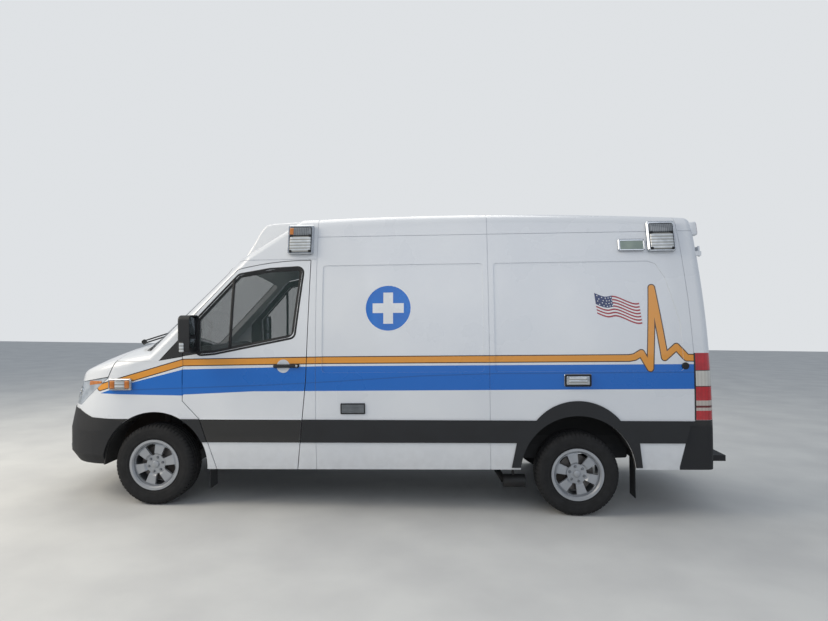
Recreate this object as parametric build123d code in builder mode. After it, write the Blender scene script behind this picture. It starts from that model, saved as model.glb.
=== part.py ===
import os
from math import asin, cos, degrees, radians, sin, sqrt

from build123d import *

os.makedirs("parts", exist_ok=True)

# The van is drawn level, x running aft from above the front wheels, y to the van's right and z up
# from the ground under the front wheels. At the end it is tipped to its nose-down stance. Sizes in mm.

# Stance and wheels
WHEELBASE = 3665
RAKE_DEG = 1.2
TYRE_R = 351
BEAD_R = 206
FRONT_TRACK = 1710
REAR_TRACK = 1716
RIM_FACE_OUT = 88
RIM_LIP_R = 220

# Body section
SILL_Z = 318
SILL_HALF = 966
WAIST_Z = 1000
WAIST_HALF = 990
SIDE_R = 5865
SECTION_TOP_Z = 2700
ROOF_PEAK = (2560, 2596)
ROOF_LINE_R = 38000
ROOF_CROWN_R = 4000
ROOF_CORNER_R = 110

# Windscreen and the roof's sloping brow
SCREEN_FOOT = (-264, 1418)
SCREEN_ANGLE = 43.1
SCREEN_BOW_R = 2044
BROW_POINT = (719, 2286)
BROW_ANGLE = 31
BROW_BOW_R = 2600
PILLAR_R = 60

# Nose and hood
NOSE_X = -1000
NOSE_Z = 834
NOSE_LEAN = 0.27
NOSE_FRONT_R = 1900
NOSE_FRONT_HALF = 540
NOSE_CORNER_R = 600
NOSE_CORNER_DEG = 70
NOSE_SIDE_R = 900
HOOD_PEAK = (228, 1468)
HOOD_LINE_R = 2180
HOOD_CROWN_R = 3500
HOOD_EDGE_R = 90

# Tail
TAIL_LOW = (4815, 200)
TAIL_MID = (4790, 1250)
TAIL_TOP = (4690, 2700)
TAIL_CORNER_R = 70

# Walls, seams and glass
WALL = 60
HOOD_WALL = 26
GLASS_DEPTH = 6
GLASS = 5
LEDGE = 12
SEAM_WIDTH = 5
DOOR_GAP = 7
REST_GAP = 0.3
DOOR_TAPER = 5
BAND_PROUD = 12

# Seams between the body's panels
B_SEAM_X = 1445
C_SEAM_X = 2940
ROOF_SEAM_Z = 2342
CAB_ROOF_Z = 2142
REAR_SEAM = ((4535, 2700), (4583, 2220), (4617, 1741), (4640, 1304), (4640, 200))
BUMPER_TOP_Z = 690

# Black band along the side, lower at the tail
BAND_TOP = ((-500, 760), (4700, 727))
BAND_LOW = ((-500, 557), (4700, 542))

# Wheel arches, given from the wheel's centre
FRONT_ARCH_R = 467
FRONT_ARCH_OFFSET = (12, 0)
REAR_ARCH_R = 482
REAR_ARCH_OFFSET = (5, 18)
FLARE_TOP = (3677, 900)
FLARE = ((3115, 318), (3163, 549), (3324, 731), (4030, 731), (4184, 549), (4212, 318))

# Cab door and its window, side view of the left side
DOOR_OUTLINE = ((275, 1300), (275, 913), (430, 747), (574, 300), (1279, 300), (1358, 1089), (1400, 2140))
DOOR_TOP_MID = (1090, 2127)
DOOR_TOP_FRONT = (742, 2066)
DOOR_PILLAR = (275, 1560)
WINDOW_FRONT = (400, 1318)
WINDOW_PILLAR = (400, 1618)
WINDOW_TOP_FRONT = (759, 2005)
WINDOW_TOP_MID = (1030, 2050)
WINDOW_REAR_TOP = (1322, 2064)
WINDOW_REAR_LOW = (1251, 1464)
WINDOW_KINK = (557, 1330)
WINDOW_LOW_R = 70
WINDOW_CORNER_R = 40

# Hood seam in side view, front to rear, and the headlamp below it
HOOD_SEAM = ((-1100, 1046), (-713, 1069), (-582, 1092), (-412, 1120), (-346, 1262))
HOOD_REAR_X = -346
LAMP_FRONT_LOW = (-1100, 862)
LAMP_LOW = (-723, 862)
LAMP_REAR = (-412, 1112)
LAMP_INNER_HALF = 430
LAMP_DEPTH = 90
FENDER_TOP = ((-346, 1262), (60, 1256), (268, 1294))
BUMPER_SEAM = ((-1100, 838), (-741, 826), (-563, 766), (-407, 760), (-270, 735))

# Front bumper
BUMPER_X = -1014
BUMPER_PLAN = (2600, 540, 560, 75, 600)
BUMPER_LOW_Z = 352
BUMPER_CHIN = (90, 60)
BUMPER_BEND_Z = 650
BUMPER_WALL = 40

# Windscreen outline on its slope: half widths and distances up from the foot
SCREEN_LOW = (850, 60)
SCREEN_HIGH = (765, 1070)

# Rear doors, seen from behind on the right
REAR_DOOR = (
    (0, BUMPER_TOP_Z + 6), (795, BUMPER_TOP_Z + 6), (795, 1290), (800, 1700), (740, 2330), (640, 2405),
    (0, 2418),
)
REAR_WINDOW = ((150, 1430), (690, 1430), (650, 2080), (150, 2080))
REAR_DOOR_SPLIT = 5
REAR_HINGE = (4798, 812, 1525)
REAR_HINGE_LEAN = 3.02
REAR_HINGE_HEIGHTS = (-640, -40, 640)
LAMP_TAIL = (4640, 738, 1297, 870)

# Floors and chassis
LOAD_FLOOR_Z = 690
FLOOR_T = 50
PARTITION_X = 1490
RAIL_HALF = (440, 510)
RAIL_T = 120
SPINDLE_R = 30
HUB_GAP = 0.5
KINGPIN_LOW = (745, 205)
KINGPIN_HIGH = (660, 850)
STEER_WHEEL_AT = (615, 430, 1165)
STEER_WHEEL_R = 195
STEER_TILT = 30

FAR = 6500
REACH = 1300


def sag(radius, half):
    """How far an arc of this radius falls away from its tangent."""
    return radius - sqrt(radius**2 - half**2)


def side_half(z):
    """Half width of the body's side above the waist."""
    return WAIST_HALF - sag(SIDE_R, z - WAIST_Z)


def polar(centre, radius, degrees):
    """Point at an angle measured from straight ahead towards the side."""
    return (centre[0] - radius * cos(radians(degrees)), centre[1] + radius * sin(radians(degrees)))


def section_block(inset):
    """Body section, sill to roof, run the whole length."""
    low_r = ((WAIST_Z - SILL_Z) ** 2 + (WAIST_HALF - SILL_HALF) ** 2) / (2 * (WAIST_HALF - SILL_HALF))
    low_mid = (WAIST_Z + SILL_Z) / 2
    high_mid = (WAIST_Z + SECTION_TOP_Z) / 2
    with BuildPart() as block:
        with BuildSketch(Plane.YZ.offset(-1400)):
            with BuildLine():
                Line((0, SILL_Z + inset), (SILL_HALF - inset, SILL_Z + inset))
                ThreePointArc(
                    (SILL_HALF - inset, SILL_Z + inset),
                    (WAIST_HALF - sag(low_r, WAIST_Z - low_mid) - inset, low_mid),
                    (WAIST_HALF - inset, WAIST_Z),
                )
                ThreePointArc(
                    (WAIST_HALF - inset, WAIST_Z),
                    (side_half(high_mid) - inset, high_mid),
                    (side_half(SECTION_TOP_Z) - inset, SECTION_TOP_Z),
                )
                Line((side_half(SECTION_TOP_Z) - inset, SECTION_TOP_Z), (0, SECTION_TOP_Z))
                mirror(about=Plane.YZ)
            make_face()
        extrude(amount=FAR)
    return block.part


def crowned_block(peak, line_r, crown_r, inset):
    """Solid under a surface with one arc along the van and another across it."""
    axis_z = peak[1] - crown_r
    top = crown_r - inset
    plane = Plane(origin=(peak[0], 0, axis_z), x_dir=(1, 0, 0), z_dir=(0, 1, 0))
    half = min(0.9 * line_r, 4300)
    with BuildPart() as block:
        with BuildSketch(plane):
            with BuildLine():
                ends = top - sag(line_r - inset, half)
                ThreePointArc((-half, ends), (0, top), (half, ends))
                Polyline((half, ends), (half, 50), (-half, 50), (-half, ends))
            make_face()
        revolve(axis=Axis((0, 0, axis_z), (1, 0, 0)))
    return block.part


def bowed_block(foot, angle, bow_r, inset):
    """Solid behind a bowed surface that slopes back at an angle."""
    slope = (cos(radians(angle)), 0, sin(radians(angle)))
    plane = Plane(origin=(foot[0], 0, foot[1]), x_dir=(0, 1, 0), z_dir=slope)
    drop = sag(bow_r, REACH)
    with BuildPart() as block:
        with BuildSketch(plane):
            with BuildLine():
                ThreePointArc((-REACH, -drop - inset), (0, -inset), (REACH, -drop - inset))
                Polyline((REACH, -drop - inset), (REACH, -FAR), (-REACH, -FAR), (-REACH, -drop - inset))
            make_face()
        extrude(amount=FAR, both=True)
    return block.part


def tail_block(inset):
    """Solid ahead of the curved tail."""
    with BuildPart() as block:
        with BuildSketch(Plane.XZ.offset(-REACH)):
            with BuildLine():
                ThreePointArc(
                    (TAIL_LOW[0] - inset, TAIL_LOW[1]),
                    (TAIL_MID[0] - inset, TAIL_MID[1]),
                    (TAIL_TOP[0] - inset, TAIL_TOP[1]),
                )
                Polyline(
                    (TAIL_TOP[0] - inset, TAIL_TOP[1]),
                    (-2000, TAIL_TOP[1]),
                    (-2000, TAIL_LOW[1]),
                    (TAIL_LOW[0] - inset, TAIL_LOW[1]),
                )
            make_face()
        extrude(amount=2 * REACH)
    return block.part


def nose_edges(front_x, radii, inset):
    """Plan of the nose or bumper: front arc, corner arc and side arc, all tangent."""
    front_r, front_half, corner_r, corner_deg, side_r = radii
    start_deg = degrees(asin(front_half / front_r))
    front_o = (front_x + front_r, 0)
    corner_o = polar(front_o, front_r - corner_r, start_deg)
    side_o = (
        corner_o[0] + (side_r - corner_r) * cos(radians(corner_deg)),
        corner_o[1] - (side_r - corner_r) * sin(radians(corner_deg)),
    )
    front_end = polar(front_o, front_r - inset, start_deg)
    corner_mid = polar(corner_o, corner_r - inset, (start_deg + corner_deg) / 2)
    corner_end = polar(corner_o, corner_r - inset, corner_deg)
    side_mid = polar(side_o, side_r - inset, (corner_deg + 90) / 2)
    side_end = polar(side_o, side_r - inset, 90)
    with BuildLine(Plane.XY) as half:
        ThreePointArc(front_end, corner_mid, corner_end)
        ThreePointArc(corner_end, side_mid, side_end)
        Polyline(side_end, (FAR - 1000, side_end[1] + 40), (FAR - 1000, 0))
        mirror(about=Plane.XZ)
        ThreePointArc(front_end, (front_x + inset, 0), (front_end[0], -front_end[1]))
    return half.line.edges()


NOSE_PLAN = (NOSE_FRONT_R, NOSE_FRONT_HALF, NOSE_CORNER_R, NOSE_CORNER_DEG, NOSE_SIDE_R)


def nose_block(inset):
    """Plan of the nose, leaning back, run up past the roof."""
    foot_z = 200
    edges = nose_edges(NOSE_X - NOSE_LEAN * (NOSE_Z - foot_z), NOSE_PLAN, inset)
    with BuildPart() as block:
        with BuildSketch(Plane.XY.offset(foot_z)):
            make_face(edges)
        extrude(amount=2600, dir=(NOSE_LEAN, 0, 1))
    return block.part


def near(edge, half, low, high):
    """Whether an edge lies out at the side, between two heights."""
    middle = edge.center()
    return abs(middle.Y) > half and low < middle.Z < high


def tall(edge):
    return edge.bounding_box().size.Z > 150


def nose_form(inset):
    """Nose and hood as one solid, with the hood's rim rounded."""
    with BuildPart() as form:
        add(crowned_block(HOOD_PEAK, HOOD_LINE_R, HOOD_CROWN_R, inset))
        add(nose_block(inset), mode=Mode.INTERSECT)
        if 0 <= inset < PILLAR_R:
            rim = form.part.edges().filter_by(lambda e: e.center().X < 200 and 1000 < e.center().Z < 1350)
            fillet(rim.filter_by(lambda e: e.bounding_box().size.Y > 20), HOOD_EDGE_R - inset)
    return form.part


def body_form(inset):
    """The whole outer form as one solid, or the same form set in by a wall."""
    rounded = 0 <= inset < PILLAR_R
    with BuildPart() as form:
        add(crowned_block(ROOF_PEAK, ROOF_LINE_R, ROOF_CROWN_R, inset))
        add(bowed_block(SCREEN_FOOT, SCREEN_ANGLE, SCREEN_BOW_R, inset), mode=Mode.INTERSECT)
        add(bowed_block(BROW_POINT, BROW_ANGLE, BROW_BOW_R, inset), mode=Mode.INTERSECT)
        add(tail_block(inset), mode=Mode.INTERSECT)
        with BuildSketch():
            with BuildLine():
                Polyline((-290, 0), (-290, 700), (-150, 940), (-50, REACH), (FAR, REACH), (FAR, 0))
                mirror(about=Plane.XZ)
            make_face()
        extrude(amount=SECTION_TOP_Z, mode=Mode.INTERSECT)
        add(section_block(inset), mode=Mode.INTERSECT)
        if rounded:
            cant = form.part.edges().filter_by(lambda e: near(e, 700, 2400, 2600) and e.length > 1500)
            fillet(cant, ROOF_CORNER_R - inset)
            upright = form.part.edges().filter_by(lambda e: near(e, 800, 400, 2400) and tall(e))
            fillet(upright.filter_by(lambda e: e.center().X < 1300 and e.center().Z > 1100), PILLAR_R - inset)
            upright = form.part.edges().filter_by(lambda e: near(e, 800, 400, 2400) and tall(e))
            fillet(upright.filter_by(lambda e: e.center().X > 4000), TAIL_CORNER_R - inset)
        add(nose_form(inset))
        add(section_block(inset), mode=Mode.INTERSECT)
    return form.part


# Wheels' places, level with the body
FRONT_AXLE = (TYRE_R * sin(radians(RAKE_DEG)), TYRE_R * cos(radians(RAKE_DEG)))
REAR_AXLE = (
    FRONT_AXLE[0] + WHEELBASE * cos(radians(RAKE_DEG)),
    FRONT_AXLE[1] - WHEELBASE * sin(radians(RAKE_DEG)),
)
FRONT_ARCH = (FRONT_AXLE[0] + FRONT_ARCH_OFFSET[0], FRONT_AXLE[1] + FRONT_ARCH_OFFSET[1])
REAR_ARCH = (REAR_AXLE[0] + REAR_ARCH_OFFSET[0], REAR_AXLE[1] + REAR_ARCH_OFFSET[1])
FLOOR_UNDER_Z = LOAD_FLOOR_Z - FLOOR_T

# The outer form and the same form set in, from which every panel is cut
OUTER = body_form(0)
INSIDE = body_form(WALL)
GLASS_OUTSIDE = body_form(GLASS_DEPTH)
GLASS_INSIDE = body_form(GLASS_DEPTH + GLASS)
HOOD_INSIDE = body_form(HOOD_WALL)
LAMP_INSIDE = body_form(LAMP_DEPTH)
BAND_OUTSIDE = body_form(-BAND_PROUD)

SIDE_VIEW = Plane.XZ.offset(1010)
REAR_VIEW = Plane.YZ.offset(4900)
SCREEN_NORMAL = (-sin(radians(SCREEN_ANGLE)), 0, cos(radians(SCREEN_ANGLE)))
SCREEN_VIEW = Plane(origin=(SCREEN_FOOT[0], 0, SCREEN_FOOT[1]), x_dir=(0, -1, 0), z_dir=SCREEN_NORMAL)


def outline_face(points, grow=0.0, arc=None, corner_r=0.0):
    """Closed outline of straight runs, with one arc after the last point if given."""
    with BuildSketch(Plane.XY) as outline:
        with BuildLine():
            Polyline(*points)
            if arc:
                ThreePointArc(points[-1], arc[0], arc[1])
                Line(arc[1], points[0])
            else:
                Line(points[-1], points[0])
        make_face()
        if corner_r:
            fillet(outline.vertices(), corner_r)
        if grow:
            offset(amount=grow, kind=Kind.INTERSECTION)
    return outline.sketch


def run_out(face, plane, depth, taper=0.0):
    """An outline run into the body from a plane outside it."""
    with BuildPart() as block:
        with BuildSketch(plane):
            add(face)
        extrude(amount=-depth, taper=taper)
    return block.part


def box_between(low, high):
    """Box given by two corners."""
    with BuildPart() as box:
        with Locations([tuple((a + b) / 2 for a, b in zip(low, high))]):
            Box(*(abs(b - a) for a, b in zip(low, high)))
    return box.part


def cab_door_block(grow):
    points = (DOOR_PILLAR,) + DOOR_OUTLINE
    face = outline_face(points, grow, (DOOR_TOP_MID, DOOR_TOP_FRONT))
    return run_out(face, SIDE_VIEW, 300, DOOR_TAPER)


def cab_window_block(grow):
    points = (WINDOW_TOP_FRONT, WINDOW_PILLAR, WINDOW_FRONT, WINDOW_KINK, WINDOW_REAR_LOW, WINDOW_REAR_TOP)
    with BuildSketch(Plane.XY) as outline:
        with BuildLine():
            Polyline(*points)
            ThreePointArc(WINDOW_REAR_TOP, WINDOW_TOP_MID, WINDOW_TOP_FRONT)
        make_face()
        fillet(outline.vertices().sort_by(Axis.X)[-1], WINDOW_CORNER_R)
        fillet(outline.vertices().filter_by(lambda v: v.X > 1100 and v.Y < 1600), WINDOW_LOW_R)
        if grow:
            offset(amount=grow, kind=Kind.INTERSECTION)
    return run_out(outline.sketch, SIDE_VIEW, 300)


def rear_window_block(grow):
    return run_out(outline_face(REAR_WINDOW, grow, None, 50), REAR_VIEW, 400)


def screen_block(grow):
    points = (
        (-SCREEN_LOW[0], SCREEN_LOW[1]),
        (SCREEN_LOW[0], SCREEN_LOW[1]),
        (SCREEN_HIGH[0], SCREEN_HIGH[1]),
        (-SCREEN_HIGH[0], SCREEN_HIGH[1]),
    )
    face = outline_face(points, grow, None, 60)
    with BuildPart() as block:
        with BuildSketch(SCREEN_VIEW):
            add(face)
        extrude(amount=500, both=True)
    return block.part


def side_arch(centre, radius, half):
    """Wheel arch cylinder on the left, from outside in to a half width."""
    with BuildPart() as cutter:
        with BuildSketch(Plane.XZ.offset(1100)):
            with Locations(centre):
                Circle(radius)
        extrude(amount=-(1100 - half))
    return cutter.part


# Hollow body, open below, and the grooves along its seams
with BuildPart() as hollow:
    add(OUTER)
    add(INSIDE, mode=Mode.SUBTRACT)
    add(box_between((-1200, -SILL_HALF + WALL, 300), (4790, SILL_HALF - WALL, 400)), mode=Mode.SUBTRACT)
SHELL = hollow.part

with BuildPart() as rear_seam_line:
    with BuildSketch(Plane.XZ.offset(-REACH)):
        with BuildLine():
            Polyline(*REAR_SEAM, (FAR, 200), (FAR, REAR_SEAM[0][1]), REAR_SEAM[0])
        make_face()
    extrude(amount=2 * REACH)
TAIL_REGION = rear_seam_line.part

with BuildPart() as seam_lines:
    for x in (B_SEAM_X, C_SEAM_X):
        add(box_between((x - SEAM_WIDTH / 2, -REACH, 200), (x + SEAM_WIDTH / 2, REACH, 2700)))
    for x_low, x_high, z in ((B_SEAM_X, 4700, ROOF_SEAM_Z), (700, B_SEAM_X, CAB_ROOF_Z)):
        add(box_between((x_low, -REACH, z - SEAM_WIDTH / 2), (x_high, REACH, z + SEAM_WIDTH / 2)))
    with BuildSketch(Plane.XZ.offset(-REACH)):
        with BuildLine():
            Polyline(*REAR_SEAM)
            offset(amount=SEAM_WIDTH / 2)
        make_face()
    extrude(amount=2 * REACH)
    add(OUTER, mode=Mode.INTERSECT)
    add(GLASS_OUTSIDE, mode=Mode.SUBTRACT)
SEAMS = seam_lines.part


def left_and_right(piece):
    """A left piece together with its mirror image."""
    return [piece, mirror(piece, about=Plane.XZ, mode=Mode.PRIVATE)]


# Roof over the load space, from the cab's seam to the tail's
with BuildPart() as roof:
    add(SHELL)
    add(box_between((B_SEAM_X, -REACH, ROOF_SEAM_Z), (4800, REACH, 2700)), mode=Mode.INTERSECT)
    add(TAIL_REGION, mode=Mode.SUBTRACT)
    add(SEAMS, mode=Mode.SUBTRACT)

# Side panels: the recessed stamping, the wheel arch and the seams
RECESS_FRONT = ((1500, 1150), (2895, 1150), (2895, 2083), (1500, 2083))
RECESS_REAR = (
    (2985, 1150), (4560, 1150), (4540, 1560), (4440, 1930), (4366, 2058), (4300, 2083), (2985, 2083),
)
RECESS_CORNER_R = 30
REAR_BUMPER_FRONT = ((4600, BUMPER_TOP_Z), (4516, 343))
REAR_ARCH_CUT = side_arch(REAR_ARCH, REAR_ARCH_R, 700)
with BuildPart() as pressed_area:
    add(run_out(outline_face(RECESS_FRONT, 0, None, RECESS_CORNER_R), SIDE_VIEW, 300))
    add(run_out(outline_face(RECESS_REAR, 0, None, RECESS_CORNER_R), SIDE_VIEW, 300))
with BuildPart() as pressed_skin:
    add(GLASS_OUTSIDE)
    add(pressed_area.part, mode=Mode.INTERSECT)
    add(INSIDE, mode=Mode.SUBTRACT)
with BuildPart() as bumper_corner:
    with BuildSketch(Plane.XZ.offset(-REACH)):
        with BuildLine():
            Polyline((FAR, BUMPER_TOP_Z), *REAR_BUMPER_FRONT, (4516, 250), (FAR, 250), (FAR, BUMPER_TOP_Z))
        make_face()
    extrude(amount=2 * REACH)
BUMPER_REGION = bumper_corner.part

with BuildPart() as front_side:
    add(SHELL)
    add(box_between((B_SEAM_X, -REACH, 0), (C_SEAM_X, 0, ROOF_SEAM_Z)), mode=Mode.INTERSECT)
    add(SEAMS, mode=Mode.SUBTRACT)
    add(pressed_area.part, mode=Mode.SUBTRACT)
    add(pressed_skin.part.solids().sort_by(Axis.X)[0])
with BuildPart() as rear_side:
    add(SHELL)
    add(box_between((C_SEAM_X, -REACH, 0), (4800, 0, ROOF_SEAM_Z)), mode=Mode.INTERSECT)
    add(TAIL_REGION, mode=Mode.SUBTRACT)
    add(BUMPER_REGION, mode=Mode.SUBTRACT)
    add(REAR_ARCH_CUT, mode=Mode.SUBTRACT)
    add(SEAMS, mode=Mode.SUBTRACT)
    add(pressed_area.part, mode=Mode.SUBTRACT)
    add(pressed_skin.part.solids().sort_by(Axis.X)[-1])
with BuildPart() as left_side_panel:
    add(front_side.part)
    add(rear_side.part)

# Sliding door on the right, with its window
SLIDE_TOP_Z = 2137
SLIDE_WINDOW = ((1700, 1440), (2680, 1440), (2680, 2010), (1700, 2010))
SLIDE_WINDOW_R = 60


def slide_window(grow):
    return run_out(outline_face(SLIDE_WINDOW, grow, None, SLIDE_WINDOW_R), SIDE_VIEW, 300)


with BuildPart() as slide_rebate:
    add(slide_window(0))
    add(OUTER, mode=Mode.INTERSECT)
    add(GLASS_INSIDE, mode=Mode.SUBTRACT)
with BuildPart() as slide_pane:
    add(slide_window(-REST_GAP))
    add(GLASS_OUTSIDE, mode=Mode.INTERSECT)
    add(GLASS_INSIDE, mode=Mode.SUBTRACT)
with BuildPart() as slide_left:
    add(front_side.part)
    add(box_between((1000, -REACH, 0), (4000, 0, SLIDE_TOP_Z)), mode=Mode.INTERSECT)
    add(slide_window(-LEDGE), mode=Mode.SUBTRACT)
    add(slide_rebate.part, mode=Mode.SUBTRACT)
with BuildPart() as over_slide:
    add(front_side.part)
    add(box_between((B_SEAM_X, -REACH, SLIDE_TOP_Z), (C_SEAM_X, 0, ROOF_SEAM_Z)), mode=Mode.INTERSECT)
with BuildPart() as sliding_door:
    mirror(slide_left.part, about=Plane.XZ)
with BuildPart() as right_side_panel:
    mirror(rear_side.part, about=Plane.XZ)
    mirror(over_slide.part, about=Plane.XZ)

# Windscreen and the cab's frame: pillars, header, cowl, sills and hinge pillars
CAB_INNER = (
    (200, 1320), (266, 1320), (300, 1290), (305, 905), (462, 740), (490, 640), (B_SEAM_X, 640),
    (B_SEAM_X, 330), (500, 330), (500, 470), (440, 600), (350, 730), (200, 790),
)
CAB_INNER_HALF = (850, 900)
COWL_FLANGE = ((200, -960, 1240), (262, -850, 1330))
PILLAR_FOOT = ((1315, -940, 330), (B_SEAM_X, -850, 430))
DOOR_HINGE = (273.5, 987)
DOOR_HINGE_HEIGHTS = (1010, 1230)
DOOR_HINGE_SIZE = (3, 40)
HOOD_HINGE = (-346, 1385)
HOOD_HINGE_AT = 140
HOOD_HINGE_SIZE = (7, 40)
PIN_GAP = 0.3


def hinge_pair(at, along, size):
    """Fixed knuckle with its pin, and the turning knuckle on that pin."""
    radius, length = size
    low = Plane(origin=at, z_dir=along).offset(-length)
    with BuildPart() as fixed:
        with BuildSketch(low):
            Circle(radius)
        extrude(amount=length - PIN_GAP)
        with BuildSketch(low):
            Circle(radius / 2)
        extrude(amount=2 * length)
    with BuildPart() as turning:
        with BuildSketch(low.offset(length)):
            Circle(radius)
            Circle(radius / 2 + PIN_GAP, mode=Mode.SUBTRACT)
        extrude(amount=length)
    return fixed.part, turning.part


HOOD_HINGE_SIDES = (-HOOD_HINGE_AT, HOOD_HINGE_AT)
door_hinges = [
    hinge_pair((DOOR_HINGE[0], -DOOR_HINGE[1], z), (0, 0, 1), DOOR_HINGE_SIZE) for z in DOOR_HINGE_HEIGHTS
]
hood_hinges = [
    hinge_pair((HOOD_HINGE[0], y, HOOD_HINGE[1]), (0, 1, 0), HOOD_HINGE_SIZE) for y in HOOD_HINGE_SIDES
]
with BuildPart() as screen_rebate:
    add(screen_block(0))
    add(OUTER, mode=Mode.INTERSECT)
    add(GLASS_INSIDE, mode=Mode.SUBTRACT)
with BuildPart() as body_glass:
    add(screen_block(-REST_GAP))
    add(GLASS_OUTSIDE, mode=Mode.INTERSECT)
    add(GLASS_INSIDE, mode=Mode.SUBTRACT)
    mirror(slide_pane.part, about=Plane.XZ)
CAB_FRONT_X = HOOD_REAR_X + DOOR_GAP
with BuildPart() as cab_side:
    with BuildSketch(Plane.XZ):
        with BuildLine():
            Polyline(
                (CAB_FRONT_X, CAB_ROOF_Z), (CAB_FRONT_X, FENDER_TOP[0][1]), *FENDER_TOP[1:],
                (DOOR_OUTLINE[0][0], FENDER_TOP[2][1]), (DOOR_OUTLINE[2][0] + 200, 250), (B_SEAM_X, 250),
                (B_SEAM_X, CAB_ROOF_Z), (CAB_FRONT_X, CAB_ROOF_Z),
            )
        make_face()
    extrude(amount=REACH, both=True)
DOOR_HOLE = cab_door_block(DOOR_GAP)
with BuildPart() as inner_side:
    with BuildSketch(Plane.XZ.offset(CAB_INNER_HALF[0])):
        with BuildLine():
            Polyline(*CAB_INNER, CAB_INNER[0])
        make_face()
    extrude(amount=CAB_INNER_HALF[1] - CAB_INNER_HALF[0])
    add(box_between(*COWL_FLANGE))
    add(box_between(*PILLAR_FOOT))
    add(DOOR_HOLE, mode=Mode.SUBTRACT)
    for (fixed, turning), z in zip(door_hinges, DOOR_HINGE_HEIGHTS):
        add(fixed)
        leaf_x = DOOR_HINGE[0]
        add(box_between((leaf_x - 2.6, -DOOR_HINGE[1], z - 38), (leaf_x, -CAB_INNER_HALF[1] + 5, z - 2)))
with BuildPart() as cab_frame:
    add(SHELL)
    add(cab_side.part, mode=Mode.INTERSECT)
    add(screen_block(-LEDGE), mode=Mode.SUBTRACT)
    add(screen_rebate.part, mode=Mode.SUBTRACT)
    add(SEAMS, mode=Mode.SUBTRACT)
    add(left_and_right(DOOR_HOLE), mode=Mode.SUBTRACT)
    add(left_and_right(inner_side.part))
    for y in HOOD_HINGE_SIDES:
        low = (CAB_FRONT_X - 8, y - HOOD_HINGE_SIZE[1] - 2, HOOD_HINGE[1] - 16)
        high = (CAB_FRONT_X + 9, y + HOOD_HINGE_SIZE[1] + 6, HOOD_HINGE[1] + 30)
        add(box_between(low, high), mode=Mode.SUBTRACT)
        low = (HOOD_HINGE[0], y - HOOD_HINGE_SIZE[1], HOOD_HINGE[1] - 6)
        add(box_between(low, (CAB_FRONT_X + 12, y - PIN_GAP, HOOD_HINGE[1] - 1)))
    for fixed, turning in hood_hinges:
        add(fixed)

# Hood
HOOD_LIFT = 3
with BuildPart() as hood_outline:
    with BuildSketch(Plane.XZ.offset(-REACH)):
        with BuildLine():
            lifted = [(x, z + HOOD_LIFT) for x, z in HOOD_SEAM]
            Polyline(*lifted, (HOOD_REAR_X, 1500), (HOOD_SEAM[0][0], 1500), lifted[0])
        make_face()
    extrude(amount=2 * REACH)
with BuildPart() as hood:
    add(OUTER)
    add(hood_outline.part, mode=Mode.INTERSECT)
    add(HOOD_INSIDE, mode=Mode.SUBTRACT)
    for (fixed, turning), y in zip(hood_hinges, HOOD_HINGE_SIDES):
        low = (HOOD_REAR_X - 10, y - HOOD_HINGE_SIZE[1] - 1, HOOD_HINGE[1] - 12)
        high = (HOOD_REAR_X + 1, y + HOOD_HINGE_SIZE[1] + 1, HOOD_HINGE[1] + 12)
        add(box_between(low, high), mode=Mode.SUBTRACT)
        low = (HOOD_REAR_X - 14, y + PIN_GAP, HOOD_HINGE[1] - 6)
        add(box_between(low, (HOOD_REAR_X - 4.5, y + HOOD_HINGE_SIZE[1], HOOD_HINGE[1] - 1)))
        add(turning)

# Headlamps in the corners of the nose
with BuildPart() as lamp_outline:
    with BuildSketch(Plane.XZ.offset(-REACH)):
        with BuildLine():
            low_seam = [(x, z - HOOD_LIFT) for x, z in HOOD_SEAM[:3]]
            Polyline(
                LAMP_FRONT_LOW, LAMP_LOW, LAMP_REAR, (LAMP_REAR[0], LAMP_REAR[1] + 4),
                low_seam[2], low_seam[1], low_seam[0], LAMP_FRONT_LOW,
            )
        make_face()
    extrude(amount=2 * REACH)
with BuildPart() as headlamps:
    add(OUTER)
    add(lamp_outline.part, mode=Mode.INTERSECT)
    add(box_between((-1200, -LAMP_INNER_HALF, 700), (0, LAMP_INNER_HALF, 1200)), mode=Mode.SUBTRACT)
    add(LAMP_INSIDE, mode=Mode.SUBTRACT)

# Grille between the lamps: a frame and horizontal slats
GRILLE_HALF = 424
GRILLE_TOP_Z = 1042
GRILLE_SLATS = 4
GRILLE_PITCH = 42
GRILLE_SLOT = 26
with BuildPart() as grille:
    add(OUTER)
    surround = box_between((-1200, -GRILLE_HALF, LAMP_LOW[1]), (-700, GRILLE_HALF, GRILLE_TOP_Z))
    add(surround, mode=Mode.INTERSECT)
    add(HOOD_INSIDE, mode=Mode.SUBTRACT)
    with BuildSketch(Plane.YZ.offset(-1200)):
        with Locations((0, (LAMP_LOW[1] + GRILLE_TOP_Z) / 2)):
            with GridLocations(0, GRILLE_PITCH, 1, GRILLE_SLATS):
                SlotOverall(2 * GRILLE_HALF - 50, GRILLE_SLOT)
    extrude(amount=500, mode=Mode.SUBTRACT)

# Front bumper: upright below, leaning in to the nose above, open at the arches
AIR_INTAKE = (420, 130, 440)
INTAKE_BAR = 22
FOG_LAMP = (640, 470, 52)
BUMPER_JOINT_Z = 838


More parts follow.
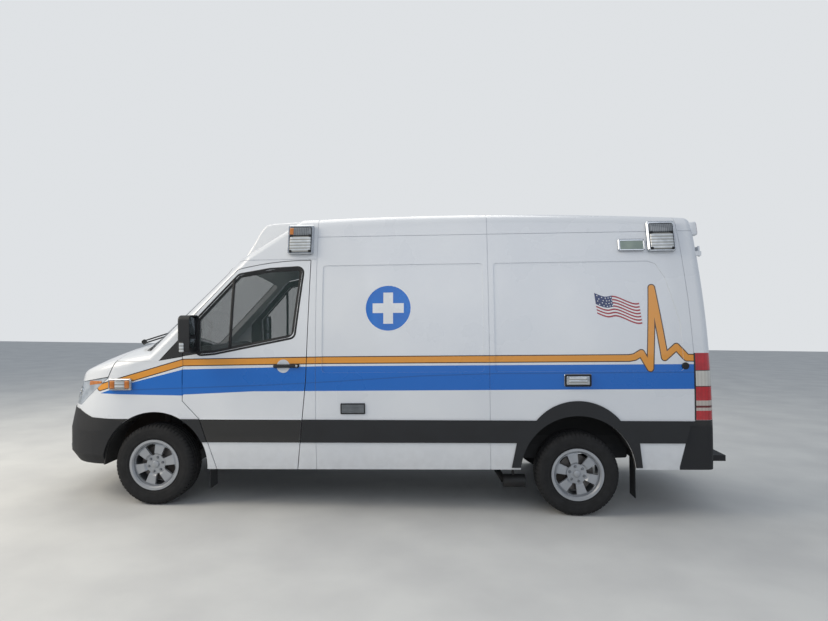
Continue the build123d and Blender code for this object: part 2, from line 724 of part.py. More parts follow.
def bumper_form(inset):
    """Bumper's outer form, or the same set in by its wall."""
    with BuildPart() as form:
        with BuildSketch(Plane.XY.offset(BUMPER_LOW_Z)):
            make_face(nose_edges(BUMPER_X, BUMPER_PLAN, inset + BUMPER_CHIN[1]))
        with BuildSketch(Plane.XY.offset(BUMPER_LOW_Z + BUMPER_CHIN[0])):
            make_face(nose_edges(BUMPER_X, BUMPER_PLAN, inset))
        loft(ruled=True)
        with BuildSketch(Plane.XY.offset(BUMPER_LOW_Z + BUMPER_CHIN[0])):
            make_face(nose_edges(BUMPER_X, BUMPER_PLAN, inset))
        extrude(amount=BUMPER_BEND_Z - BUMPER_LOW_Z - BUMPER_CHIN[0])
        with BuildSketch(Plane.XY.offset(BUMPER_BEND_Z)):
            make_face(nose_edges(BUMPER_X, BUMPER_PLAN, inset))
        with BuildSketch(Plane.XY.offset(BUMPER_JOINT_Z)):
            make_face(nose_edges(NOSE_X - 6, NOSE_PLAN, inset))
        loft(ruled=True)
    return form.part


with BuildPart() as bumper_side:
    with BuildSketch(Plane.XZ.offset(-REACH)):
        with BuildLine():
            Polyline((-1100, 300), (-1100, BUMPER_SEAM[0][1]), *BUMPER_SEAM[1:], (-270, 300), (-1100, 300))
        make_face()
    extrude(amount=2 * REACH)
with BuildPart() as front_bumper:
    add(bumper_form(0))
    add(bumper_form(BUMPER_WALL), mode=Mode.SUBTRACT)
    add(bumper_side.part, mode=Mode.INTERSECT)
    add(left_and_right(side_arch(FRONT_ARCH, FRONT_ARCH_R, 500)), mode=Mode.SUBTRACT)
    with BuildSketch(Plane.YZ.offset(-1200)):
        with Locations((0, AIR_INTAKE[2])):
            RectangleRounded(2 * AIR_INTAKE[0], AIR_INTAKE[1], 25)
            Rectangle(2 * AIR_INTAKE[0] + 10, INTAKE_BAR, mode=Mode.SUBTRACT)
    extrude(amount=500, mode=Mode.SUBTRACT)
    with BuildSketch(Plane.YZ.offset(-1200)):
        with Locations((-FOG_LAMP[0], FOG_LAMP[1]), (FOG_LAMP[0], FOG_LAMP[1])):
            Circle(FOG_LAMP[2])
    extrude(amount=1200 - 905, mode=Mode.SUBTRACT)

# Front fenders with the panel below the lamps and the front wheelhouses
LINER_R = (460, 472)
REAR_LINER_R = 500
LINER_HALF = (705, 950)
FLANK_TOP_Z = 1180
with BuildPart() as fender_outline:
    with BuildSketch(Plane.XZ.offset(-REACH)):
        with BuildLine():
            Polyline(
                (CAB_FRONT_X, 1258), *FENDER_TOP[1:], (DOOR_OUTLINE[0][0], FENDER_TOP[2][1]), (700, 1100),
                (700, 250), (-200, 250), *reversed(BUMPER_SEAM),
                LAMP_FRONT_LOW, LAMP_LOW, (LAMP_REAR[0] + 6, LAMP_REAR[1]), (CAB_FRONT_X, 1258),
            )
        make_face()
    extrude(amount=2 * REACH)
with BuildPart() as flank_inside:
    add(nose_form(GLASS_DEPTH + GLASS))
    add(section_block(GLASS_DEPTH + GLASS), mode=Mode.INTERSECT)
    add(box_between((-1500, -REACH, 0), (2000, REACH, FLANK_TOP_Z)), mode=Mode.INTERSECT)
with BuildPart() as cowl_inside:
    add(GLASS_INSIDE)
    add(box_between((-1500, -REACH, FLANK_TOP_Z), (1500, REACH, 2000)), mode=Mode.INTERSECT)
with BuildPart() as fender_skin:
    add(OUTER)
    add(fender_outline.part, mode=Mode.INTERSECT)
    add(flank_inside.part, mode=Mode.SUBTRACT)
    add(cowl_inside.part, mode=Mode.SUBTRACT)
    add(box_between((-1300, -940, 300), (800, 940, 340)), mode=Mode.SUBTRACT)
    add(left_and_right(side_arch(FRONT_ARCH, FRONT_ARCH_R, 500)), mode=Mode.SUBTRACT)
    add(left_and_right(DOOR_HOLE), mode=Mode.SUBTRACT)
with BuildPart() as wheelhouse:
    with BuildSketch(Plane.XZ.offset(LINER_HALF[0])):
        with Locations(FRONT_ARCH):
            Circle(LINER_R[1])
            Circle(LINER_R[0], mode=Mode.SUBTRACT)
            Rectangle(1000, 500, align=(Align.CENTER, Align.MAX), mode=Mode.SUBTRACT)
    extrude(amount=LINER_HALF[1] - LINER_HALF[0])
    add(GLASS_INSIDE, mode=Mode.INTERSECT)
    add(front_bumper.part, mode=Mode.SUBTRACT)
with BuildPart() as front_fenders:
    add(fender_skin.part)
    add(left_and_right(wheelhouse.part))

# Cab doors: skin with the black band, window opening and mirror foot
WINDOW_HOLE = cab_window_block(-LEDGE)
with BuildPart() as window_rebate:
    add(cab_window_block(0))
    add(OUTER, mode=Mode.INTERSECT)
    add(GLASS_INSIDE, mode=Mode.SUBTRACT)
with BuildPart() as side_band:
    add(BAND_OUTSIDE)
    add(OUTER, mode=Mode.SUBTRACT)
    with BuildSketch(Plane.XZ.offset(-REACH)):
        with BuildLine():
            Polyline(BAND_TOP[0], BAND_TOP[1], BAND_LOW[1], BAND_LOW[0], BAND_TOP[0])
        make_face()
        with BuildLine():
            ThreePointArc(FLARE[2], FLARE_TOP, FLARE[3])
            Polyline(*FLARE[3:], *FLARE[:3])
        make_face()
        with Locations(FRONT_ARCH):
            Circle(FRONT_ARCH_R, mode=Mode.SUBTRACT)
        with Locations(REAR_ARCH):
            Circle(REAR_ARCH_R, mode=Mode.SUBTRACT)
    extrude(amount=2 * REACH, mode=Mode.INTERSECT)
    add(box_between((-1200, -REACH, 0), (FRONT_ARCH[0], REACH, 1200)), mode=Mode.SUBTRACT)
    add(BUMPER_REGION, mode=Mode.SUBTRACT)
    add(box_between((4640, -REACH, 0), (FAR, REACH, 1200)), mode=Mode.SUBTRACT)
    add(box_between((-1300, -900, 0), (FAR, 900, 2700)), mode=Mode.SUBTRACT)
    add(box_between((-1300, -REACH, 0), (FAR, REACH, 335)), mode=Mode.SUBTRACT)
with BuildPart() as door_left:
    add(SHELL)
    add(cab_door_block(0), mode=Mode.INTERSECT)
    add(WINDOW_HOLE, mode=Mode.SUBTRACT)
    add(window_rebate.part, mode=Mode.SUBTRACT)
with BuildPart() as door_band:
    add(side_band.part)
    add(cab_door_block(0), mode=Mode.INTERSECT)
with BuildPart() as cab_door_left:
    add(door_left.part)
    add(door_band.part)
    for (fixed, turning), z in zip(door_hinges, DOOR_HINGE_HEIGHTS):
        add(turning)
        low = (DOOR_HINGE[0] + 2.2, -DOOR_HINGE[1], z + 2)
        add(box_between(low, (DOOR_HINGE[0] + 6, -DOOR_HINGE[1] + 4, z + 38)))
with BuildPart() as cab_door_right:
    mirror(cab_door_left.part, about=Plane.XZ)
with BuildPart() as cab_glass_left:
    add(cab_window_block(-REST_GAP))
    add(GLASS_OUTSIDE, mode=Mode.INTERSECT)
    add(GLASS_INSIDE, mode=Mode.SUBTRACT)
with BuildPart() as cab_glass_right:
    mirror(cab_glass_left.part, about=Plane.XZ)

# Mirrors on the cab doors
MIRROR_HEAD = ((329, 432), (1005, 1213), (1339, 1657))
MIRROR_CORNER_R = 45
MIRROR_EDGE_R = 22
MIRROR_ARM = ((345, 400), (960, 1030), (1385, 1440))
with BuildPart() as mirror_left:
    with BuildSketch(Plane.YZ.offset(MIRROR_HEAD[0][0])):
        with Locations((-sum(MIRROR_HEAD[1]) / 2, sum(MIRROR_HEAD[2]) / 2)):
            RectangleRounded(
                MIRROR_HEAD[1][1] - MIRROR_HEAD[1][0], MIRROR_HEAD[2][1] - MIRROR_HEAD[2][0], MIRROR_CORNER_R
            )
    extrude(amount=MIRROR_HEAD[0][1] - MIRROR_HEAD[0][0])
    fillet(mirror_left.faces().sort_by(Axis.X)[0].edges(), MIRROR_EDGE_R)
    with BuildSketch(Plane.YZ.offset(MIRROR_HEAD[0][1])):
        with Locations((-sum(MIRROR_HEAD[1]) / 2, sum(MIRROR_HEAD[2]) / 2)):
            RectangleRounded(
                MIRROR_HEAD[1][1] - MIRROR_HEAD[1][0] - 24,
                MIRROR_HEAD[2][1] - MIRROR_HEAD[2][0] - 24,
                MIRROR_CORNER_R - 12,
            )
    extrude(amount=-12, mode=Mode.SUBTRACT)
    arm_low = (MIRROR_ARM[0][0], -MIRROR_ARM[1][1], MIRROR_ARM[2][0])
    add(box_between(arm_low, (MIRROR_ARM[0][1], -MIRROR_ARM[1][0], MIRROR_ARM[2][1])))
    add(OUTER, mode=Mode.SUBTRACT)
with BuildPart() as mirror_right:
    mirror(mirror_left.part, about=Plane.XZ)

# Rear frame with the tail lamps' corners and the doors' fixed knuckles
REAR_HINGE_DIR = (-sin(radians(REAR_HINGE_LEAN)), 0, cos(radians(REAR_HINGE_LEAN)))
REAR_HINGE_SIZE = (9, 45)
DOOR_STRAP_HALF = 738


def hinge_point(height):
    """Point on the right rear door's hinge line."""
    return (
        REAR_HINGE[0] + REAR_HINGE_DIR[0] / REAR_HINGE_DIR[2] * height, REAR_HINGE[1], REAR_HINGE[2] + height,
    )


rear_hinges = [hinge_pair(hinge_point(h), REAR_HINGE_DIR, REAR_HINGE_SIZE) for h in REAR_HINGE_HEIGHTS]
with BuildPart() as tail_lamp_box:
    add(box_between((LAMP_TAIL[0], -REACH, LAMP_TAIL[1]), (FAR, -LAMP_TAIL[3], LAMP_TAIL[2])))
    add(box_between((LAMP_TAIL[0], LAMP_TAIL[3], LAMP_TAIL[1]), (FAR, REACH, LAMP_TAIL[2])))


def rear_door_block(grow):
    face = outline_face(REAR_DOOR, grow)
    return run_out(face, REAR_VIEW, 400, DOOR_TAPER)


with BuildPart() as rear_frame:
    add(SHELL)
    add(TAIL_REGION, mode=Mode.INTERSECT)
    add(BUMPER_REGION, mode=Mode.SUBTRACT)
    add(SEAMS, mode=Mode.SUBTRACT)
    add(left_and_right(rear_door_block(DOOR_GAP)), mode=Mode.SUBTRACT)
    add(tail_lamp_box.part, mode=Mode.SUBTRACT)
    for (fixed, turning), height in zip(rear_hinges, REAR_HINGE_HEIGHTS):
        at = hinge_point(height)
        low = (4700, at[1] + 6, at[2] - REAR_HINGE_SIZE[1] + 4)
        add(left_and_right(box_between(low, (at[0] + 2, at[1] + 50, at[2] - 4))))
        add(left_and_right(fixed))
with BuildPart() as tail_lamps:
    add(SHELL)
    add(tail_lamp_box.part, mode=Mode.INTERSECT)
with BuildPart() as rear_rebate:
    add(rear_window_block(0))
    add(OUTER, mode=Mode.INTERSECT)
    add(GLASS_INSIDE, mode=Mode.SUBTRACT)
with BuildPart() as rear_door_right:
    add(OUTER)
    add(INSIDE, mode=Mode.SUBTRACT)
    add(rear_door_block(0), mode=Mode.INTERSECT)
    add(box_between((4000, -REACH, 0), (FAR, REAR_DOOR_SPLIT, 3000)), mode=Mode.SUBTRACT)
    add(rear_window_block(-LEDGE), mode=Mode.SUBTRACT)
    add(rear_rebate.part, mode=Mode.SUBTRACT)
    for (fixed, turning), height in zip(rear_hinges, REAR_HINGE_HEIGHTS):
        at = hinge_point(height)
        low = (4730, at[1] - 90, at[2] + 6)
        add(box_between(low, (at[0] - 3, DOOR_STRAP_HALF, at[2] + REAR_HINGE_SIZE[1] - 4)))
        high = (at[0] + 2, at[1] - 6.5, at[2] + REAR_HINGE_SIZE[1] - 4)
        add(box_between((at[0] - 9, at[1] - 88, low[2]), high))
        add(turning)
with BuildPart() as rear_door_left:
    mirror(rear_door_right.part, about=Plane.XZ)
with BuildPart() as rear_glass_right:
    add(rear_window_block(-REST_GAP))
    add(GLASS_OUTSIDE, mode=Mode.INTERSECT)
    add(GLASS_INSIDE, mode=Mode.SUBTRACT)
with BuildPart() as rear_glass_left:
    mirror(rear_glass_right.part, about=Plane.XZ)

# Rear bumper and its step
STEP = ((4720, 4985), 760, (345, 395))
with BuildPart() as rear_bumper:
    add(SHELL)
    add(BUMPER_REGION, mode=Mode.INTERSECT)
    add(box_between((4701, -880, 664), (4790, 880, 688)))
    add(box_between((STEP[0][0], -STEP[1], STEP[2][0]), (STEP[0][1], STEP[1], STEP[2][1])))

# Roof lights, side lights and the vent, seated on the curved side
SIDE_LAMPS = (
    # x from, x to, z from, z to, proud, corner radius
    (1186, 1415, 2181, 2448, 38, 18),
    (4306, 4542, 2156, 2425, 38, 18),
    (4059, 4282, 2169, 2272, 30, 12),
    (-376, -171, 1010, 1111, 24, 12),
    (3563, 3790, 1022, 1128, 24, 12),
    (1661, 1876, 795, 890, 10, 8),
)


def side_lamp(x_low, x_high, z_low, z_high, proud, corner_r):
    """Lamp housing whose face lies along the side, run in past the skin."""
    z_mid = (z_low + z_high) / 2
    lean = asin((z_mid - WAIST_Z) / SIDE_R)
    out = (0, -cos(lean), sin(lean))
    foot = ((x_low + x_high) / 2, -side_half(z_mid), z_mid)
    face = Plane(origin=tuple(a + proud * b for a, b in zip(foot, out)), x_dir=(1, 0, 0), z_dir=out)
    with BuildPart() as lamp:
        with BuildSketch(face):
            RectangleRounded(x_high - x_low, z_high - z_low, corner_r)
        extrude(amount=-proud - 90)
        chamfer(lamp.faces().sort_by(Axis(foot, out))[-1].edges(), 8)
        add(OUTER, mode=Mode.SUBTRACT)
    return lamp.part.solids().sort_by(Axis.Y)[0]


with BuildPart() as warning_lamps:
    for row in SIDE_LAMPS[:3]:
        add(left_and_right(side_lamp(*row)))
with BuildPart() as side_lamps:
    for row in SIDE_LAMPS[3:]:
        add(left_and_right(side_lamp(*row)))

# Front light fairing lying on the brow
FAIRING = (
    (698, 2220), (774, 2336), (829, 2431), (862, 2473), (896, 2503), (950, 2516), (1149, 2526), (1400, 2532),
    (1400, 2440), (800, 2180),
)
FAIRING_HALF = 540
FAIRING_EDGE_R = 24
with BuildPart() as fairing:
    with BuildSketch(Plane.XZ.offset(-FAIRING_HALF)):
        with BuildLine():
            Polyline(*FAIRING, FAIRING[0])
        make_face()
    extrude(amount=2 * FAIRING_HALF)
    rim = fairing.edges().filter_by(lambda e: abs(e.center().Y) > 500 and e.center().Z > 2300)
    fillet(rim, FAIRING_EDGE_R)
with BuildPart() as fairing_skin:
    add(fairing.part)
    add(OUTER, mode=Mode.SUBTRACT)
with BuildPart() as cab_roof:
    add(SHELL)
    add(box_between((-300, -REACH, CAB_ROOF_Z), (B_SEAM_X, REACH, 2700)), mode=Mode.INTERSECT)
    add(screen_block(-LEDGE), mode=Mode.SUBTRACT)
    add(screen_rebate.part, mode=Mode.SUBTRACT)
    add(SEAMS, mode=Mode.SUBTRACT)
    add(fairing_skin.part.solids().sort_by(SortBy.VOLUME)[-1])

# Side mouldings: the band and the rear arch flare on the fixed panels, and the mud flaps
FRONT_FLAP = ((494, 500), (770, 935), (140, 465))
REAR_FLAP = ((4165, 4171), (745, 900), (60, 400))
with BuildPart() as side_mouldings:
    add(side_band.part)
    add(left_and_right(cab_door_block(DOOR_GAP)), mode=Mode.SUBTRACT)
    for flap in (FRONT_FLAP, REAR_FLAP):
        for side in (-1, 1):
            low = (flap[0][0], side * flap[1][0], flap[2][0])
            add(box_between(low, (flap[0][1], side * flap[1][1], flap[2][1])))

# Floor with the firewall and the rear wheelhouses
FLOOR_FRONT_X = 75
FLOOR_WIDE_X = 500
FLOOR_NARROW = 535
FIREWALL_T = 30
FIREWALL_TOP_Z = 1290
WHEELHOUSE_IN = 690
WHEELHOUSE_LOW_Z = 480
STRETCHER_PLATE = ((2100, 4100), (-330, 270), 4)
with BuildPart() as floor:
    add(box_between((FLOOR_FRONT_X, -FLOOR_NARROW, FLOOR_UNDER_Z), (B_SEAM_X, FLOOR_NARROW, LOAD_FLOOR_Z)))
    add(box_between((FLOOR_WIDE_X, -895, FLOOR_UNDER_Z), (B_SEAM_X + 10, 895, LOAD_FLOOR_Z)))
    add(box_between((B_SEAM_X, -REACH, FLOOR_UNDER_Z), (4700, REACH, LOAD_FLOOR_Z)))
    for half, z_low, z_high in ((FLOOR_NARROW, FLOOR_UNDER_Z, 830), (845, 812, FIREWALL_TOP_Z)):
        add(box_between((FLOOR_FRONT_X, -half, z_low), (FLOOR_FRONT_X + FIREWALL_T, half, z_high)))
    with BuildSketch(Plane.XZ.offset(-REACH)):
        with Locations(REAR_ARCH):
            Circle(REAR_LINER_R)
    extrude(amount=2 * REACH)
    with BuildSketch(Plane.XZ.offset(-WHEELHOUSE_IN)):
        with Locations(REAR_ARCH):
            Circle(REAR_LINER_R)
    extrude(amount=2 * WHEELHOUSE_IN, mode=Mode.SUBTRACT)
    add(box_between((3000, -REACH, -300), (4400, REACH, WHEELHOUSE_LOW_Z)), mode=Mode.SUBTRACT)
    add(box_between((B_SEAM_X, -WHEELHOUSE_IN, FLOOR_UNDER_Z), (4690, WHEELHOUSE_IN, LOAD_FLOOR_Z)))
    add(INSIDE, mode=Mode.INTERSECT)
    with BuildSketch(Plane.XZ.offset(-REACH)):
        with Locations(REAR_ARCH):
            Circle(REAR_ARCH_R)
    extrude(amount=REACH - WHEELHOUSE_IN - 10, mode=Mode.SUBTRACT)
    with BuildSketch(Plane.XZ.offset(REACH)):
        with Locations(REAR_ARCH):
            Circle(REAR_ARCH_R)
    extrude(amount=-(REACH - WHEELHOUSE_IN - 10), mode=Mode.SUBTRACT)
    add(left_and_right(wheelhouse.part), mode=Mode.SUBTRACT)
    low = (STRETCHER_PLATE[0][0], STRETCHER_PLATE[1][0], LOAD_FLOOR_Z)
    add(box_between(low, (STRETCHER_PLATE[0][1], STRETCHER_PLATE[1][1], LOAD_FLOOR_Z + STRETCHER_PLATE[2])))

# Partition behind the cab, with its pass-through
PASS_THROUGH = ((-80, 400), (1250, 1750))
with BuildPart() as partition:
    add(box_between((PARTITION_X, -REACH, LOAD_FLOOR_Z), (PARTITION_X + 20, REACH, 2700)))
    add(INSIDE, mode=Mode.INTERSECT)
    low = (PARTITION_X - 10, PASS_THROUGH[0][0], PASS_THROUGH[1][0])
    add(box_between(low, (PARTITION_X + 30, PASS_THROUGH[0][1], PASS_THROUGH[1][1])), mode=Mode.SUBTRACT)

# Cabinets along the left wall and the bench on the right
CABINETS = (
    # x from, x to, inner half, z from, z to, shelves
    (1600, 3150, 560, 690, 1480, 2),
    (1600, 4300, 640, 1760, 2200, 1),
)
CABINET_WALL = 20
BENCH = ((3000, 4300), 500, (690, 1120))
with BuildPart() as cabinets:
    for x_low, x_high, half, z_low, z_high, shelves in CABINETS:
        add(box_between((x_low, -REACH, z_low), (x_high, -half, z_high)))
        step = (z_high - z_low - CABINET_WALL) / (shelves + 1)
        for i in range(shelves + 1):
            low = (x_low + CABINET_WALL, -830 + 50 * (z_low > 1000), z_low + CABINET_WALL + i * step)
            high = (x_high - CABINET_WALL, -half + 1, low[2] + step - CABINET_WALL)
            add(box_between(low, high), mode=Mode.SUBTRACT)
    add(box_between((BENCH[0][0], BENCH[1], BENCH[2][0]), (BENCH[0][1], REACH, BENCH[2][1])))
    add(INSIDE, mode=Mode.INTERSECT)
    add(floor.part, mode=Mode.SUBTRACT)
    with BuildSketch(Plane.XZ.offset(-REACH)):
        with Locations(REAR_ARCH):
            Circle(REAR_LINER_R)
    extrude(amount=REACH - 400, mode=Mode.SUBTRACT)

# Seats on their pedestals
SEAT_HALF = (250, 720)
SEAT_SIDE = (
    (900, 860), (900, 960), (940, 990), (1250, 975), (1375, 1560), (1435, 1550), (1378, 900), (1360, 860),
    (900, 860),
)
HEADREST = ((1423, 1640), 70, 190)
with BuildPart() as seats:
    for side in (-1, 1):
        mid = side * sum(SEAT_HALF) / 2
        add(box_between((960, mid - 170, LOAD_FLOOR_Z), (1300, mid + 170, 860)))
        with BuildSketch(Plane.XZ.offset(-mid - 235)):
            with BuildLine():
                Polyline(*SEAT_SIDE)
            make_face()
            with Locations(HEADREST[0]):
                Rectangle(*HEADREST[1:])
        extrude(amount=470)

# Dashboard with the steering column
DASH = (
    (105, 1270), (150, 1330), (240, 1370), (360, 1330), (440, 1180), (525, 1000), (500, 900), (400, 850),
    (105, 850),
)
DASH_HALF = 840
STEER_AXIS = (cos(radians(90 - STEER_TILT)), 0, sin(radians(90 - STEER_TILT)))
STEER_PLANE = Plane(origin=(STEER_WHEEL_AT[0], -STEER_WHEEL_AT[1], STEER_WHEEL_AT[2]), z_dir=STEER_AXIS)
with BuildPart() as dashboard:
    with BuildSketch(Plane.XZ.offset(-DASH_HALF)):
        with BuildLine():
            Polyline(*DASH, DASH[0])
        make_face()
    extrude(amount=2 * DASH_HALF)
    add(INSIDE, mode=Mode.INTERSECT)
    with BuildSketch(STEER_PLANE.offset(-20)):
        Circle(32)
    extrude(amount=-230)

# Steering wheel: rim, hub and four spokes
STEER_RIM_R = 14
with BuildPart() as steering_wheel:
    with BuildSketch(STEER_PLANE.offset(20)):
        Circle(STEER_WHEEL_R)
        Circle(STEER_WHEEL_R - 2 * STEER_RIM_R, mode=Mode.SUBTRACT)
    extrude(amount=2 * STEER_RIM_R)
    fillet(steering_wheel.edges().filter_by(GeomType.CIRCLE), STEER_RIM_R - 2)
    with BuildSketch(STEER_PLANE.offset(-19.6)):
        Circle(60)
    extrude(amount=45)
    with BuildSketch(STEER_PLANE.offset(10)):
        with PolarLocations(0, 4, start_angle=45):
            with Locations((STEER_WHEEL_R / 2 + 10, 0)):
                Rectangle(STEER_WHEEL_R - 40, 26)
    extrude(amount=16)

# Chassis: rails, crossmembers, strut towers, tank and exhaust
CROSS_X = (700, 1500, 2300, 2950, 4171)
MUFFLER = ((-750, 170), 56.5, 192)
PIPE = ((-360, 430), 25, 2880)
with BuildPart() as chassis_frame:
    for side in (-1, 1):
        rail_in, rail_out = side * RAIL_HALF[0], side * RAIL_HALF[1]
        add(box_between((450, rail_in, FLOOR_UNDER_Z - RAIL_T), (4690, rail_out, FLOOR_UNDER_Z)))
        add(box_between((-890, rail_in, 400), (520, rail_out, 500)))
        add(box_between((450, rail_in, 400), (520, rail_out, FLOOR_UNDER_Z)))
        add(box_between((-53, side * 500, 400), (67, side * 535, 800)))
        add(box_between((-53, side * 500, 800), (67, side * 703, 850)))
        add(box_between((2990, rail_out, 545), (3050, side * 600, FLOOR_UNDER_Z)))
        add(box_between((4290, rail_out, 545), (4350, side * 600, FLOOR_UNDER_Z)))
        add(box_between((4171, rail_out, 560), (4200, side * 900, FLOOR_UNDER_Z)))
        add(box_between((4171, side * 610, 380), (4200, side * 900, FLOOR_UNDER_Z)))
        add(box_between((520, rail_out, 560), (560, side * 852, FLOOR_UNDER_Z)))
        add(box_between((-850, rail_in, 500), (-830, rail_out, 860)))
        add(box_between((-930, rail_in, 400), (-890, rail_out, 500)))
        low = (7, side * KINGPIN_LOW[0], KINGPIN_LOW[1])
        up = (0, side * (KINGPIN_HIGH[0] - KINGPIN_LOW[0]), KINGPIN_HIGH[1] - KINGPIN_LOW[1])
        with BuildSketch(Plane(origin=low, z_dir=up).offset(590)):
            Circle(10 + PIN_GAP)
        extrude(amount=80, mode=Mode.SUBTRACT)
    for x in CROSS_X:
        add(box_between((x, -RAIL_HALF[0], FLOOR_UNDER_Z - 70), (x + 60, RAIL_HALF[0], FLOOR_UNDER_Z)))
    add(box_between((-850, -RAIL_HALF[0], 820), (-830, RAIL_HALF[0], 860)))
    add(box_between((-890, -RAIL_HALF[0], 410), (-850, RAIL_HALF[0], 470)))
    add(box_between((1650, -850, 330), (2350, -RAIL_HALF[1], 600)))
    with BuildSketch(Plane.YZ.offset(3062)):
        with Locations(MUFFLER[0]):
            Circle(MUFFLER[1])
    extrude(amount=MUFFLER[2])
    low = (3140, MUFFLER[0][0] - 12, MUFFLER[0][1] + 40)
    add(box_between(low, (3160, MUFFLER[0][0] + 12, FLOOR_UNDER_Z)))
    with BuildSketch(Plane.YZ.offset(600)):
        with Locations(PIPE[0]):
            Circle(PIPE[1])
    extrude(amount=PIPE[2] - 600)
    bend = Vector(3070 - PIPE[2], MUFFLER[0][0] - PIPE[0][0], MUFFLER[0][1] - PIPE[0][1])
    with BuildSketch(Plane(origin=(PIPE[2], *PIPE[0]), z_dir=bend)):
        Circle(PIPE[1])
    extrude(amount=bend.length)
    with Locations((PIPE[2], *PIPE[0])):
        Sphere(PIPE[1])
    for x in CROSS_X[:3]:
        add(box_between((x, PIPE[0][0] - 8, PIPE[0][1] + 10), (x + 20, PIPE[0][0] + 8, FLOOR_UNDER_Z)))
    add(front_bumper.part, mode=Mode.SUBTRACT)

# Engine and gearbox as one plain block
with BuildPart() as engine_block:
    add(box_between((-620, -300, 300), (60, 300, 960)))
    add(box_between((50, -150, 330), (900, 150, 560)))

# Front axle: crossmember and lower arms with their cups
with BuildPart() as front_axle:
    add(box_between((-60, -380, 200), (80, 380, 300)))
    for side in (-1, 1):
        add(box_between((-60, side * 320, 290), (80, side * 380, 320)))
        add(box_between((-45, side * 370, 300), (60, side * RAIL_HALF[1], 400)))
        add(box_between((-40, side * 370, 190), (54, side * 735, 215)))
        with BuildSketch(Plane.XY.offset(178)):
            with Locations((7, side * KINGPIN_LOW[0])):
                Circle(30)
        extrude(amount=37)
        with Locations((7, side * KINGPIN_LOW[0], KINGPIN_LOW[1])):
            Sphere(18 + PIN_GAP, mode=Mode.SUBTRACT)

# Knuckles: ball, carrier, spindle and strut on the kingpin line
kingpin_plane = Plane(
    origin=(7, -KINGPIN_LOW[0], KINGPIN_LOW[1]),
    x_dir=(1, 0, 0),
    z_dir=(0, KINGPIN_LOW[0] - KINGPIN_HIGH[0], KINGPIN_HIGH[1] - KINGPIN_LOW[1]),
)
with BuildPart() as knuckle_left:
    with Locations((7, -KINGPIN_LOW[0], KINGPIN_LOW[1])):
        Sphere(18)
    with BuildSketch(kingpin_plane):
        Circle(9)
    extrude(amount=120)
    with BuildSketch(kingpin_plane.offset(90)):
        Circle(30)
    extrude(amount=240)
    with BuildSketch(kingpin_plane.offset(215)):
        Circle(27)
    extrude(amount=345)
    with BuildSketch(kingpin_plane.offset(400)):
        Circle(10)
    extrude(amount=249)
    add(box_between((-45, -800, 300), (60, -715, 402)))
    with BuildSketch(Plane.XZ.offset(780)):
        with Locations((7.35, 350.9)):
            Circle(SPINDLE_R)
    extrude(amount=125)
    add(box_between((-150, -735, 330), (7, -715, 370)))
with BuildPart() as knuckle_right:
    mirror(knuckle_left.part, about=Plane.XZ)

# Rear axle with its springs and the drive shaft
SPRING = ((3020, 530), (3672, 334), (4320, 530))
with BuildPart() as rear_axle:
    with BuildSketch(Plane.XZ.offset(-770)):
        with Locations(REAR_AXLE):
            Circle(45)
    extrude(amount=1540)
    with Locations((REAR_AXLE[0], 0, REAR_AXLE[1])):
        Sphere(140)
    with BuildSketch(Plane.XZ.offset(-905)):
        with Locations(REAR_AXLE):
            Circle(SPINDLE_R)
    extrude(amount=1810)
    for side in (-1, 1):
        with BuildSketch(Plane.XZ.offset(-side * 560 - 35)):
            with BuildLine():
                spring_line = ThreePointArc(*SPRING)
                offset(amount=15)
            make_face()
        extrude(amount=70)
    drive = Vector(3540 - 910, 0, 274 - 450)
    with BuildSketch(Plane(origin=(910, 0, 450), z_dir=drive)):
        Circle(35)
    extrude(amount=drive.length)

# Wheels: a tyre and an alloy rim with its brake disc, drawn facing the left
TYRE_HALF = ((0, 351), (85, 348), (112, 325), (117.5, 285), (100, 222), (100, 206))
RIM_SECTION = (
    (-110, 200), (-110, RIM_LIP_R), (-100.5, RIM_LIP_R), (-100.5, BEAD_R - 0.3), (100.5, BEAD_R - 0.3),
    (100.5, RIM_LIP_R), (110, RIM_LIP_R), (110, 200), (96, 190), (-96, 190),
)
RIM_FACE = (
    (60, 0), (60, 192), (RIM_FACE_OUT - 12, 192), (RIM_FACE_OUT, 170), (RIM_FACE_OUT, 100),
    (RIM_FACE_OUT - 14, 85), (RIM_FACE_OUT - 14, 0),
)
RIM_WINDOW = ((82, -13), (168, -47), (178, -24), (181, 0), (178, 24), (168, 47), (82, 13))
SPOKES = 6
LUGS = (63, 8)
FRONT_SPOKE_TURN = 15
REAR_SPOKE_TURN = -13
WHEEL_LINE = Axis((0, 0, 0), (0, 1, 0))


def wheel_ring(points):
    """Ring turned about the wheel's centre line from (width, radius) points."""
    with BuildPart() as ring:
        with BuildSketch(Plane(origin=(0, 0, 0), x_dir=(0, -1, 0), z_dir=(1, 0, 0))):
            with BuildLine():
                Polyline(*points, points[0])
            make_face()
        revolve(axis=WHEEL_LINE)
    return ring.part


